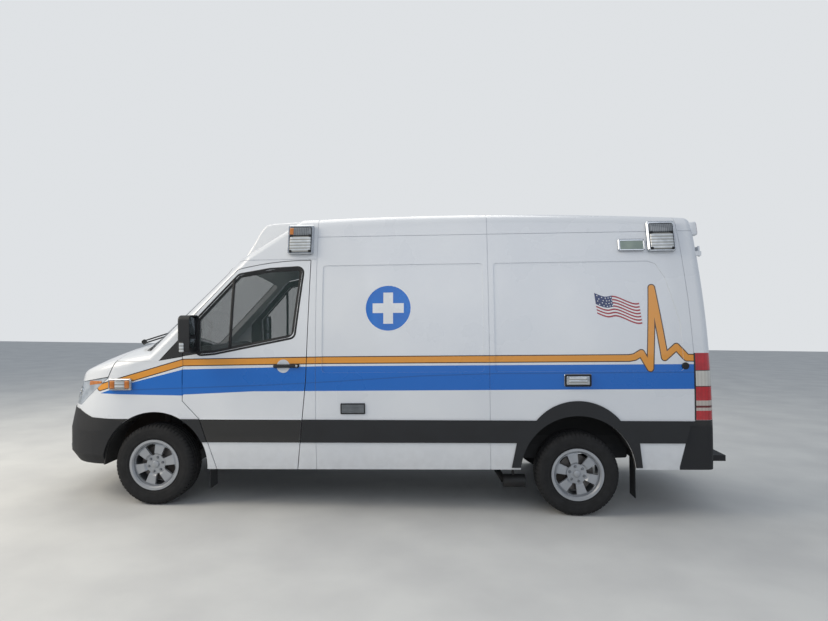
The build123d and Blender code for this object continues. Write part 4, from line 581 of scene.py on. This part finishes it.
for label, side in SIDES:
    bm = bmesh.new()
    for x_mid, z_mid, width, height, amber in UPPER_LIGHTS:
        at = side_seat(lamp_skin, x_mid, z_mid, side)
        rim = oblong(width, height, 18)
        loft(bm, at, rim, ((1, -6), (1, 3), (4, 6), (11, 6), (14, 1), (14, -4)), ends=False)
        loft(bm, at, oblong(width - 26, height - 26, 8), ((0, -4), (0, 0.5), (1, 1)), 1)
        top_v, low_v = height / 2 - 14, -height / 2 + 14
        split = top_v - (height - 28) * 0.34
        loft(bm, at, oblong(width - 36, top_v - split - 8, 6, 0, (top_v + split) / 2),
             ((0, 0), (0, 5), (4, 8), (16, 10), (30, 10.5)), 2)
        loft(bm, at, oblong(width - 36, split - low_v - 10, 10, 0, (split + low_v) / 2 - 2),
             ((0, 0), (0, 7), (5, 12), (22, 15), (46, 16)), 3)
        for u in (-width / 2 + 26, width / 2 - 26):
            for v in (low_v + 9, split - 4):
                loft(bm, at, oblong(24, 22, 5, u, v), ((0, 0), (0, 13), (3, 15)), 1)
        if amber:
            u = -side * amber * (width / 2 - 32)
            loft(bm, at, oblong(34, 62, 6, u, (top_v + split) / 2), ((0, 0), (0, 9), (3, 11.5), (10, 12)), 4)
    new_piece(
        "upper_lights_" + label, bm, "body", "lamp_glass", chrome, rubber, grey_lens, clear_lens, amber_lens,
    )
    bm = bmesh.new()
    at = side_seat(lamp_skin, 4170, 2220, side)
    loft(bm, at, oblong(215, 96, 10), ((0, -4), (0, 2), (3, 4), (9, 4), (11, 1)), ends=False)
    loft(bm, at, oblong(196, 78, 6), ((0, 0), (0, 1.5), (8, 3)), 1)
    new_piece("side_floodlight_" + label, bm, "body", "lamp_glass", chrome, flood_lens)

# Lower side lights: flasher on the fender with amber ends, marker above the rear wheel, and the louvred
# vent behind the cab door. Each sits in a pressed chrome or black frame. A rubber buffer meets the open
# rear door.
vent_grey, *_ = finish("grey anodised aluminium", "6E7275", "7C8083", 0.4, 60, 3, 0.05, Metallic=0.5)
for label, side in SIDES:
    bm = bmesh.new()
    at = side_seat(lamp_skin, -273, 1061, side)
    loft(bm, at, oblong(200, 94, 14), ((0, -8), (0, 2), (4, 5), (10, 5), (13, 0)), ends=False)
    loft(bm, at, oblong(86, 68, 6), ((0, 0), (0, 4), (5, 7), (16, 8)), 1)
    for u in (-66, 66):
        loft(bm, at, oblong(42, 68, 8, u), ((0, 0), (0, 4), (4, 7), (12, 8)), 2)
    new_piece("fender_light_" + label, bm, "body", "lamp_glass", chrome, clear_lens, amber_lens)
    bm = bmesh.new()
    at = side_seat(lamp_skin, 3676, 1075, side)
    loft(bm, at, oblong(222, 102, 12), ((0, -8), (0, 2), (4, 5), (12, 5), (15, 0)), 3, ends=False)
    loft(bm, at, oblong(192, 72, 8), ((0, 0), (0, 3), (3, 5)))
    loft(bm, at, oblong(150, 54, 8), ((0, 4), (0, 7), (4, 10), (14, 11)), 1)
    loft(bm, at, oblong(126, 6, 2), ((0, 10), (0, 12.5), (1, 13)))
    new_piece("marker_light_" + label, bm, "body", "lamp_glass", chrome, clear_lens, amber_lens, rubber)
    bm = bmesh.new()
    at = side_seat(lamp_skin, 1768, 842, side)
    loft(bm, at, oblong(212, 92, 6), ((0, -6), (0, 3), (3, 5), (8, 5), (10, 1)), ends=False)
    loft(bm, at, oblong(194, 74, 4), ((0, 0), (0, 0.6)), 1)
    for i in range(6):
        loft(bm, at, oblong(186, 7, 2, 0, -31 + 12.4 * i), ((0, 0), (0, 3.5), (1.5, 5)), 1)
    new_piece("side_vent_" + label, bm, "body", "black_plastic", black_plastic, vent_grey)
    bm = bmesh.new()
    at = side_seat(steel, 4570, 1190, side)
    loft(bm, at, round_of(29), ((0, -4), (0, 7), (4, 12), (14, 13)))
    loft(bm, at, round_of(11), ((0, 12), (0, 14), (3, 15)))
    new_piece("door_buffer_" + label, bm, "body", "black_plastic", rubber)

# Headlamps: a clear polycarbonate cover over a chromed bowl for each beam, glossy and bright inside, and
# an amber turn signal set into the cover's upper edge.
head_glass, tree, shader = finish(
    "clear cover over chromed bowls", "9EA5AB", "C3C8CC", 0.08, 70, 25, 0.3, Coat_Weight=1.0,
    Coat_Roughness=0.02, Metallic=0.35,
)
coat(head_glass, "headlamps")
lamp_front = skin_of("headlamps")
bowl_black, *_ = finish("smoked lamp housing", "1B1D20", "26282B", 0.3, 60, 4, 0.05, Coat_Weight=1.0)
for label, side in SIDES:
    bm = bmesh.new()
    for y, z, radius in ((610, 965, 66), (745, 1000, 50)):
        at = seat(lamp_front, place(-1500, side * y, z), Vector((1, 0, 0)))
        loft(bm, at, round_of(radius), ((0, -14), (0, 1.5), (4, 3), (9, 1)), ends=False)
        loft(bm, at, round_of(radius - 8), ((0, -14), (0, 1), (14, 1.2), (radius * 0.55, 2.2)), 1)
        loft(bm, at, round_of(radius * 0.42), ((0, 1), (2, 5), (radius * 0.2, 9), (radius * 0.38, 10)), 2)
    new_piece("headlamp_bowls_" + label, bm, "body", "lamp_glass", chrome, bowl_black, clear_lens)
    bm = bmesh.new()
    at = side_seat(lamp_front, -560, 1060, side)
    loft(bm, at, rounded([(-70, -18), (92, 4), (92, 26), (-70, 22)], 10), ((0, -10), (0, 1.5), (4, 3)))
    new_piece("turn_signal_" + label, bm, "body", "lamp_glass", amber_lens)

# Tail lamps: one tall acrylic lens moulded in red and clear, with pale reflector lines, over a black base.
# Fine upright flutes darken the red a little.
tail_glass, tree, shader = finish(
    "red and clear ribbed acrylic", "A80F1A", "BC1420", 0.14, 50, 7, 0.25, Coat_Weight=1.0, Coat_Roughness=0.03,
)
x, y, z, point = level_axes(tree)
for low, high, tint in (
    (1021, 1148, "C4C2BA"), (858, 900, "B9AFA6"), (815, 840, "B9AFA6"), (841, 858, "5B0A10"),
    (1148, 1154, "2A0A0C"), (1015, 1021, "2A0A0C"),
):
    paint_over(tree, shader, tint, (z, low, high))
FLUTE_PITCH = 28.56
flutes = add_node(
    tree, "ShaderNodeTexWave", {"Vector": point, "Scale": pi / 10 / FLUTE_PITCH}, bands_direction="X",
).outputs["Fac"]
flute = mask_of(tree, (flutes, 0.6, None))
dark = add_node(tree, "ShaderNodeMath", {0: flute, 1: 0.12}, operation="MULTIPLY").outputs[0]
paint_over(tree, shader, "3C0609", dark)
paint_over(tree, shader, "141012", (x, None, 4652))
coat(tail_glass, "tail_lamps")

# Glass: toughened panes, tinted lightly enough to see the seats through, set in black rubber seals that
# are bonded to the pane and stand a little proud of the steel.
tinted, tree, shader = finish(
    "tinted toughened glass", "1C2C28", "22332E", 0.02, 800, 900, 0.02, Alpha=0.32, Specular_IOR_Level=0.9,
)
coat(tinted, "body_glass", "cab_glass_left", "cab_glass_right", "rear_glass_left", "rear_glass_right")


def seal(bm, skin, plane, outline, width, lift, reach=1600):
    """Strip that follows an outline on a surface, half its width each way, a little raised in the middle."""
    loops = [[], [], [], []]
    for i, (u, v) in enumerate(outline):
        run = Vector(outline[(i + 1) % len(outline)]) - Vector(outline[i - 1])
        aside = Vector((run.y, -run.x)).normalized() * width
        for loop, share, raised in zip(loops, (-0.5, -0.3, 0.3, 0.5), (-0.5, lift, lift, -0.5)):
            point = on_skin(skin, plane, u + aside.x * share, v + aside.y * share, raised, reach)
            loop.append(bm.verts.new(point))
    join_loops(bm, loops, ends=False)


def pane_outline(points, radius, step=60):
    """Outline of a pane in mm, its corners rounded, with a point at about every step."""
    outline = rounded(points, radius, 5)
    dense = []
    for a, b in zip(outline, outline[1:] + outline[:1]):
        a, b = Vector(a), Vector(b)
        steps = max(1, int((b - a).length / step))
        dense += [tuple(a.lerp(b, k / steps)) for k in range(steps)]
    return dense


dish_paint, *_ = finish(
    "white enamel of the handle dish", "C9CDD2", "D2D5D9", 0.3, 200, 2.5, 0.01, Coat_Weight=0.5,
)
DOOR_WINDOW = [(400, 1318), (400, 1618), (759, 2005), (1030, 2050), (1322, 2064), (1251, 1464), (557, 1330)]
for label, side in SIDES:
    door = "cab_door_" + label
    door_skin = skin_of(door, "cab_glass_" + label)
    plane = view_plane(side)
    bm = bmesh.new()
    seal(bm, door_skin, plane, pane_outline(DOOR_WINDOW, 42), 44, 2.5)
    new_piece("window_seal_" + label, bm, door, "black_plastic", rubber)
    # Upright bar between the fixed front pane and the one that winds down
    bm = bmesh.new()
    rows = [[(693 + 2 * t + aside, 1362 + 61 * t) for t in range(11)] for aside in (-13, 13)]
    laid(bm, door_skin, plane, rows, 2.0)
    bar = new_piece("window_bar_" + label, bm, door, "black_plastic", rubber)
    thick = bar.modifiers.new("thickness", "SOLIDIFY")
    thick.thickness = 0.003
    thick.offset = 0
    # Door handle: a black grip bar over a pressed dish, with the lock's cover at its rear end
    at = side_seat(door_skin, 1182, 1211, side)
    bm = bmesh.new()
    loft(bm, at, round_of(57, 36, side * 17, -2), ((0, 0), (0, 1.4), (3, 2.2), (9, 1.2), (40, 0.5)))
    new_piece("handle_dish_" + label, bm, door, "white_paint", dish_paint)
    bm = bmesh.new()
    loft(bm, at, oblong(218, 30, 13, side * -12, 0), ((0, 14), (0, 20), (4, 26), (9, 28)))
    for u in (-108, 84):
        loft(bm, at, oblong(34, 32, 12, side * -12 + u + 12, 0), ((0, -2), (0, 16)))
    loft(bm, at, round_of(9, 18, side * -104, 0), ((0, 20), (0, 29), (2, 30)), 1)
    new_piece("door_handle_" + label, bm, door, "black_plastic", black_plastic, chrome)

# Windscreen and the sliding door's pane: toughened glass in the same black rubber seals, which round off
# the edge of the opening.
screen_skin = skin_of("body_glass", "cab_frame", "cab_roof")
slope = radians(43.1)
screen_foot = place(-264, 0, 1418)
up_screen = (place(-264 + 1000 * cos(slope), 0, 1418 + 1000 * sin(slope)) - screen_foot).normalized()
to_left = Vector((0, -1, 0))
screen_plane = local_frame(screen_foot, to_left, up_screen, to_left.cross(up_screen))
bm = bmesh.new()
screen_outline = pane_outline([(-850, 60), (850, 60), (765, 1070), (-765, 1070)], 60)
seal(bm, screen_skin, screen_plane, screen_outline, 30, 2.0, 700)
new_piece("windscreen_seal", bm, "body", "black_plastic", rubber)
bm = bmesh.new()
slide_skin = skin_of("body_glass", "sliding_door", "right_side_panel")
outline = rounded([(1700, 1440), (2680, 1440), (2680, 2010), (1700, 2010)], 60, 5)
seal(bm, slide_skin, view_plane(1), outline, 24, 2.5)
new_piece("slide_window_seal", bm, "body", "black_plastic", rubber)

# Wipers: arms on two spindles at the screen's foot, each with a rubber blade beside it that lies on the
# glass. Arm and blade are the same dull black.
for label, y_foot, y_tip in (("left", -560, -60), ("right", 60, 600)):
    bm = bmesh.new()
    start, tip = Vector((-y_foot, -12)), Vector((-y_tip, 118))
    run = (tip - start).normalized()
    across = Vector((-run.y, run.x))
    # Arm and blade: share of the way where it begins, distance aside, half width, underside and top
    for near, aside, half, low, high in ((0.0, 0, 7, 14, 22), (0.12, 26, 4, 1, 12)):
        a = start.lerp(tip, near) + across * aside
        b = tip + across * aside
        corners = [p + across * s for p, s in ((a, -half), (b, -half), (b, half), (a, half))]
        loft(bm, screen_plane, corners, ((0, low), (0, high)))
    spindle = screen_plane @ Matrix.Translation(Vector((-y_foot, -12, 0)) / 1000)
    loft(bm, spindle, round_of(22), ((0, -10), (0, 20), (5, 26)))
    new_piece("wiper_" + label, bm, "body", "black_plastic", rubber)

# Mirror details: a clear turn signal let into the head's front and outer side, and two panes of silvered
# glass that face aft, the wide-angle one below.
silvered, *_ = finish("silvered mirror glass", "8D9499", "9AA1A6", 0.04, 300, 400, 0.01, Metallic=1.0)
for label, side in SIDES:
    mirror_skin = skin_of("mirror_" + label)
    bm = bmesh.new()
    at = seat(mirror_skin, place(-600, side * 1130, 1450), Vector((1, 0, 0)))
    loft(bm, at, oblong(120, 26, 10, side * 12, -24), ((0, -8), (0, 1.5), (4, 3)))
    at = side_seat(mirror_skin, 366, 1388, side)
    loft(bm, at, oblong(38, 78, 8), ((0, -4), (0, 2), (3, 4)))
    new_piece("mirror_signal_" + label, bm, "cab_door_" + label, "lamp_glass", clear_lens)
    bm = bmesh.new()
    for z_mid, height in ((1548, 170), (1398, 70)):
        at = seat(mirror_skin, place(1500, side * 1120, z_mid), Vector((-1, 0, 0)))
        loft(bm, at, oblong(148, height, 22), ((0, 0), (0, 0.8), (2, 1.6)))
    new_piece("mirror_glass_" + label, bm, "cab_door_" + label, "glass", silvered)

# Front of the bumper: fog lamps with chromed rims and clear lenses seated in their recesses, and a mesh of
# crossed black plastic bars in the intake.


def looking_ahead(x, y, z):
    """Local frame that looks ahead from a point: u to the left, v up."""
    return local_frame(place(x, y, z), to_left, Vector((0, 0, 1)), Vector((-1, 0, 0)))


bm = bmesh.new()
for y in (-640, 640):
    at = looking_ahead(-905, y, 470)
    loft(bm, at, round_of(50), ((0, -4), (0, 2), (4, 3), (9, 0)), ends=False)
    loft(bm, at, round_of(42), ((0, -2), (0, 1), (10, 3), (26, 4)), 1)
new_piece("fog_lamps", bm, "body", "lamp_glass", chrome, clear_lens)
bm = bmesh.new()
at = looking_ahead(-930, 0, 440)
for i in range(-20, 21):
    loft(bm, at, oblong(4, 132, 0, i * 20.5, 0), ((0, -4), (0, 0)))
for i in range(-3, 4):
    loft(bm, at, oblong(842, 4, 0, 0, i * 18.5), ((0, -8), (0, -4)))
new_piece("intake_mesh", bm, "body", "black_plastic", black_plastic)

# Rear doors: black plastic handle with a chromed lock on the right leaf, rubber seals around the panes,
# and the dark red high lights in white housings at the top corners of the frame.
rear_skin = skin_of(
    "rear_frame", "roof", "rear_door_left", "rear_door_right", "rear_glass_left", "rear_glass_right",
)
bm = bmesh.new()
at = seat(rear_skin, place(6500, 70, 1230), Vector((-1, 0, 0)))
loft(bm, at, oblong(150, 70, 16), ((0, -3), (0, 3), (4, 6)))
loft(bm, at, oblong(118, 26, 10, 4, 8), ((0, 5), (0, 14), (5, 22), (8, 23)))
loft(bm, at, round_of(11, 20, 4, -20), ((0, 5), (0, 9), (2, 10)), 1)
new_piece("rear_handle", bm, "rear_door_right", "black_plastic", black_plastic, chrome)
rear_plane = local_frame(place(0, 0, 0), Vector((0, 1, 0)), UP, Vector((1, 0, 0)))
for label, side in SIDES:
    bm = bmesh.new()
    door_glass = [(side * 150, 1430), (side * 690, 1430), (side * 650, 2080), (side * 150, 2080)]
    seal(bm, rear_skin, rear_plane, pane_outline(door_glass, 50, 80), 24, 2.5, 6500)
    new_piece("rear_window_seal_" + label, bm, "rear_door_" + label, "black_plastic", rubber)
    bm = bmesh.new()
    at = seat(rear_skin, place(6500, side * 770, 2325), Vector((-1, 0, 0)))
    loft(bm, at, oblong(84, 120, 16), ((0, -30), (0, 26), (5, 36)))
    loft(bm, at, oblong(66, 100, 10), ((0, 34), (0, 38), (6, 41)), 1)
    enamel = nodes["roof"].data.materials[0]
    new_piece("high_rear_light_" + label, bm, "body", "white_paint", enamel, red_lens)

# Tyres: moulded rubber on steel belts. Two grooves and two finer ones run round the tread, the shoulders
# are cut into blocks, and the walls carry moulded rings. The rubber is near black and dull all over.
tyre_rubber, *_ = finish("tyre rubber", "141415", "1B1B1C", 0.75, 60, 2.2, 0.25)
TREAD = (
    # distance from the middle and radius, and the radius in a cut where that is less
    (0, 351), (17, 351), (18.5, 343.5), (27, 343.5), (28.5, 350.8, 346), (53, 350.2, 345.5), (54.5, 343),
    (63, 342.8), (64.5, 349.6, 344), (88, 347.4, 341), (99, 341, 334), (107, 331, 325), (112, 320, 318),
    (115, 309), (116, 303), (115.6, 300), (117.2, 288), (117.5, 280), (116, 266), (112, 250), (111.4, 246),
    (112.4, 243), (108, 232), (102, 225), (100, 221), (99.6, 206),
)
PITCHES = 62
section = [(-w, *radii) for w, *radii in reversed(TREAD[1:])] + list(TREAD)
WHEELS = (
    # name, axle's x and z level with the body, half track, side and the spokes' turn
    ("front_left", 7.35, 350.9, 855, -1, 15), ("front_right", 7.35, 350.9, 855, 1, 15),
    ("rear_left", 3671.5, 274.2, 858, -1, 43), ("rear_right", 3671.5, 274.2, 858, 1, 43),
)


def side_frame(x, z, out, side):
    """Local frame at a point: u aft, v up and w straight out to its own side."""
    return view_plane(side) @ Matrix.Translation(Vector((x, z, out)) / 1000)


for label, x, z, half, side, _ in WHEELS:
    at = side_frame(x, z, half, side)
    bm = bmesh.new()
    rings = []
    for pitch in range(PITCHES):
        # Three rows of points on a block and two in the cut after it
        for share, cut in ((0.0, False), (0.38, False), (0.76, False), (0.80, True), (0.96, True)):
            angle = 2 * pi * (pitch + share) / PITCHES
            ring = [(radii[-1 if cut else 0], w) for w, *radii in section]
            rings.append([
                bm.verts.new(at @ (Vector((r * cos(angle), r * sin(angle), w)) / 1000)) for r, w in ring
            ])
    for i, ring in enumerate(rings):
        after = rings[(i + 1) % len(rings)]
        for j in range(len(section) - 1):
            bm.faces.new((ring[j], ring[j + 1], after[j + 1], after[j]))
    tyre = new_piece("tread_" + label, bm, "wheel_" + label, "tyre", tyre_rubber, sharp=28)
    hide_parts("tyre_" + label)

# Wheels: cast alloy with a clear coat over silver paint. The brake disc is bare cast iron, brown-grey and
# dull. Six lug bolts, a domed cap and a rubber valve are fitted, and a caliper straddles each disc.
silver_paint = "9A9DA1"
bolt_steel, *_ = finish("zinc-plated steel", "7F8286", "8C8F93", 0.32, 20, 3, 0.03, Metallic=1.0)
cast_iron, *_ = finish("cast iron", "37322F", "413B36", 0.7, 70, 2.2, 0.3, Metallic=0.6)
cap_paint, *_ = finish("silver wheel paint", silver_paint, "A4A7AB", 0.38, 120, 3, 0.03, Metallic=0.35)
for label, x, z, half, side, turn in WHEELS:
    at = side_frame(x, z, half, side)
    alloy, tree, shader = finish(
        "silver-painted cast alloy " + label, silver_paint, "A4A7AB", 0.38, 120, 3, 0.03, Metallic=0.35,
        Coat_Weight=0.6, Coat_Roughness=0.12,
    )
    point = add_node(tree, "ShaderNodeTexCoord").outputs["Object"]
    local = add_node(
        tree, "ShaderNodeVectorMath", {0: point, 1: at.translation}, operation="SUBTRACT",
    ).outputs[0]
    flat = add_node(
        tree, "ShaderNodeVectorMath", {0: local, 1: (1000, 0, 1000)}, operation="MULTIPLY",
    ).outputs[0]
    reach = add_node(tree, "ShaderNodeVectorMath", {0: flat}, operation="LENGTH").outputs["Value"]
    out = add_node(
        tree, "ShaderNodeVectorMath", {0: local, 1: (0, side * 1000, 0)}, operation="DOT_PRODUCT",
    ).outputs["Value"]
    # Brake disc within 151 mm of the axle line, and painted shade in the well of the rim beyond it
    paint_over(tree, shader, "5E5A57", (reach, None, 151), (out, -12, 58), roughness=0.45)
    paint_over(tree, shader, "6B6D70", (reach, 150, None), (out, None, 50), roughness=0.5)
    coat(alloy, "rim_" + label)
    bm = bmesh.new()
    for k in range(6):
        angle = radians(turn + 60 * k) * (1 if side < 0 else -1)
        u, v = 63 * cos(angle), 63 * sin(angle)
        loft(bm, at, round_of(12.5, 18, u, v), ((0, 70), (0, 75), (1.5, 76.5), (4, 76.5)))
        loft(bm, at, round_of(9.5, 6, u, v, angle), ((0, 75), (0, 85), (1.5, 87), (4, 87.5)))
    loft(bm, at, round_of(31, 36), ((0, 70), (0, 80), (2, 84), (8, 87.5), (18, 89.5), (26, 90)), 1)
    angle = radians(turn + 30)
    loft(bm, at, round_of(4, 12, 204 * cos(angle), 204 * sin(angle)), ((0, 70), (0, 96), (0.8, 97)), 2)
    new_piece("wheel_bolts_" + label, bm, "wheel_" + label, "alloy", bolt_steel, cap_paint, rubber)
    bm = bmesh.new()
    aft = 1 if label.startswith("front") else -1
    for outer, inner, low, high in ((183, 104, 16, 44), (183, 104, -40, -15), (183, 156, -16, 17)):
        sector = []
        for r, degrees in ((outer, range(-28, 29, 7)), (inner, range(28, -29, -7))):
            sector += [(aft * r * cos(radians(turned)), r * sin(radians(turned))) for turned in degrees]
        loft(bm, at, sector, ((2, low), (0, low + 2), (0, high - 2), (2, high)))
    ride_on = "knuckle_" + label[6:] if aft > 0 else "body"
    new_piece("brake_caliper_" + label, bm, ride_on, "cast_iron", cast_iron)

# Chassis: pressed and welded steel under black chassis enamel, greyed by road dust, so that it hardly
# shines. The forged axles wear the same, and the engine and the steering knuckles are rough cast iron.
chassis_enamel, *_ = finish("dusty black chassis enamel", "1A1A1B", "2A2826", 0.55, 150, 4, 0.15)
coat(chassis_enamel, "chassis_frame", "rear_axle", "front_axle")
coat(cast_iron, "engine_block", "knuckle_left", "knuckle_right")

# Floor: grey vinyl on plywood over the steel pan, dull and lightly grained. The steel is tarred black
# inside the wheel arches and underneath.
vinyl, tree, shader = finish("grey floor vinyl", "5B5F62", "666A6C", 0.6, 140, 9, 0.35)
x, y, z, point = level_axes(tree)
for axle_x, axle_z in ((3671.5, 274.2), (7.35, 350.9)):
    from_hub = add_node(
        tree, "ShaderNodeVectorMath", {0: point, 1: (axle_x, 0, axle_z)}, operation="DISTANCE",
    ).outputs["Value"]
    paint_over(tree, shader, "151515", (from_hub, None, 520), (y, 640, None), roughness=0.85)
paint_over(tree, shader, "1B1B1C", (z, None, 560), roughness=0.8)
coat(vinyl, "floor")

# Inside: partition and cabinets of white laminate on board, wiped smooth and a little glossy, a moulded
# dashboard in dull grained grey plastic and a steering wheel in black.
laminate, *_ = finish("white laminate", "C9CCCC", "D2D4D3", 0.35, 260, 2.5, 0.03)
coat(laminate, "partition", "cabinets")
trim_grey, *_ = finish("grained grey trim plastic", "3B3E43", "44474C", 0.6, 200, 1.8, 0.15)
coat(trim_grey, "dashboard")
coat(black_plastic, "steering_wheel")

# Splash shields: black moulded rubber that closes the inner side of the rear wheelhouses down to the axle;
# below the floor their black is painted shade, a dark sheet put where the wheelhouse lies in shadow.
# They are screwed to the steel along their upper edge.
for label, side in SIDES:
    bm = bmesh.new()
    at = side_frame(0, 0, 695, side)
    edge = [
        (3180, 520), (3180, 360), (3560, 345), (3590, 420), (3755, 420), (3785, 345), (4160, 360), (4160, 520),
    ]
    loft(bm, at, rounded(edge, 20), ((2, -3), (0, -1), (0, 1), (2, 3)))
    new_piece("shade_splash_shield_" + label, bm, "body", "black_plastic", rubber)

# Seats: woven grey cloth over foam, on pedestals of grained grey plastic with chromed headrest posts.
# Cushion and back are stuffed covers with two sewn channels across the middle and a bolster seam down
# each side, and the headrest has one seam across.
cloth, tree, shader = finish(
    "woven grey seat cloth", "3E4247", "4A4E54", 0.85, 30, 1.4, 0.35, Sheen_Weight=0.3,
)
point = level_axes(tree)[3]
THREAD_PITCH = 2.856
weave = add_node(
    tree, "ShaderNodeTexWave", {"Vector": point, "Scale": pi / 5 / THREAD_PITCH}, bands_direction="DIAGONAL",
).outputs["Fac"]
threads = add_node(tree, "ShaderNodeMath", {0: weave, 1: 0.5}, operation="MULTIPLY").outputs[0]
paint_over(tree, shader, "2D3034", threads)
CUSHIONS = (
    # side outline (x, z) and half width of the cushion, the back and the headrest
    ([(918, 878), (905, 950), (945, 978), (1262, 962), (1290, 890)], 222),
    ([(1256, 985), (1384, 1548), (1428, 1540), (1388, 960), (1330, 930)], 222),
    ([(1392, 1562), (1400, 1722), (1446, 1722), (1450, 1562)], 118),
)
SEAT_MIDDLE = 485
MOST_SWELL = 0.026
BOLSTER_Y = 150
CUSHION_SEAMS_X = (1030, 1150)
BACK_SEAMS_Z = (1150, 1350)
HEADREST_Z, HEADREST_SEAM_Z = 1555, 1642
SEAM_HALF = 11
SEAM_DEPTH = 0.006


def evaluated(obj):
    """Copy of an object's mesh with its modifiers applied."""
    graph = bpy.context.evaluated_depsgraph_get()
    return bpy.data.meshes.new_from_object(obj.evaluated_get(graph))


bm = bmesh.new()
for outline, half in CUSHIONS:
    rings = ((26, -half), (8, -half + 10), (0, -half + 28), (0, half - 28), (8, half - 10), (26, half))
    loft(bm, view_plane(1), rounded(outline, 26, 3), rings, least=0.3)
bmesh.ops.recalc_face_normals(bm, faces=bm.faces)
mesh = bpy.data.meshes.new("seat_cover")
bm.to_mesh(mesh)
bm.free()
cover = bpy.data.objects.new("seat_cover", mesh)
scene.collection.objects.link(cover)
remesh = cover.modifiers.new("voxels", "REMESH")
remesh.mode = "VOXEL"
remesh.voxel_size = 0.009
mesh = evaluated(cover)
cover.modifiers.clear()
cover.data = mesh
# Air pressure swells the covers from inside for 20 steps, then MOST_SWELL caps what moved too far
at_rest = [v.co.copy() for v in mesh.vertices]
soft_cloth = cover.modifiers.new("stuffing", "CLOTH")
soft_cloth.settings.use_pressure = True
soft_cloth.settings.uniform_pressure_force = 4
soft_cloth.settings.effector_weights.gravity = 0
soft_cloth.settings.quality = 4
for step in range(1, 21):
    scene.frame_set(step)
mesh = evaluated(cover)
cover.modifiers.clear()
for vert, start in zip(mesh.vertices, at_rest):
    moved = vert.co - start
    if moved.length > MOST_SWELL:
        vert.co = start + moved.normalized() * MOST_SWELL
cover.data = mesh
scene.frame_set(1)
divide = cover.modifiers.new("finer", "SUBSURF")
divide.levels = 1
mesh = evaluated(cover)
cover.modifiers.clear()
bpy.data.objects.remove(cover)
normals = [v.normal.copy() for v in mesh.vertices]
to_level = view_plane(1).inverted()
for vert, normal in zip(mesh.vertices, normals):
    x, z, y = (to_level @ vert.co) * 1000
    seams = [abs(abs(y) - BOLSTER_Y)]
    if z >= HEADREST_Z:
        seams = [abs(z - HEADREST_SEAM_Z)]
    elif abs(y) < BOLSTER_Y:
        on_cushion = z < 1000 and x < 1280
        seams += [abs(x - seam) for seam in CUSHION_SEAMS_X] if on_cushion else [
            abs(z - seam) for seam in BACK_SEAMS_Z
        ]
    near = min(seams)
    if near < SEAM_HALF:
        vert.co -= normal * SEAM_DEPTH * (0.5 + 0.5 * cos(pi * near / SEAM_HALF))
for label, side in SIDES:
    bm = bmesh.new()
    bm.from_mesh(mesh)
    bm.transform(Matrix.Translation((0, side * SEAT_MIDDLE / 1000, 0)))
    seat_piece = new_piece("seat_" + label, bm, "body", "seat_cloth", cloth, sharp=180)
    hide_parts("seats")
    # Pedestal, side shields and the two headrest posts
    bm = bmesh.new()
    loft(bm, Matrix.Translation(place(1120, side * SEAT_MIDDLE, 690)), oblong(330, 340, 20),
         ((0, 2), (0, 40), (26, 60), (26, 130), (6, 160), (6, 196)))
    shield = rounded([(925, 830), (925, 905), (1245, 905), (1380, 1000), (1405, 930), (1350, 840)], 24)
    for y in (-232, 232):
        at = side_frame(0, 0, side * SEAT_MIDDLE + y, 1)
        loft(bm, at, shield, ((6, -7), (0, -4), (0, 4), (6, 7)))
    for y in (-55, 55):
        at = Matrix.Translation(place(1408, side * SEAT_MIDDLE + y, 1500))
        loft(bm, at, round_of(6, 14), ((0, 0), (0, 110)), 1)
    seat_frame = new_piece("seat_frame_" + label, bm, "body", "trim_grey", trim_grey, chrome)
    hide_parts("seats")

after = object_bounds()
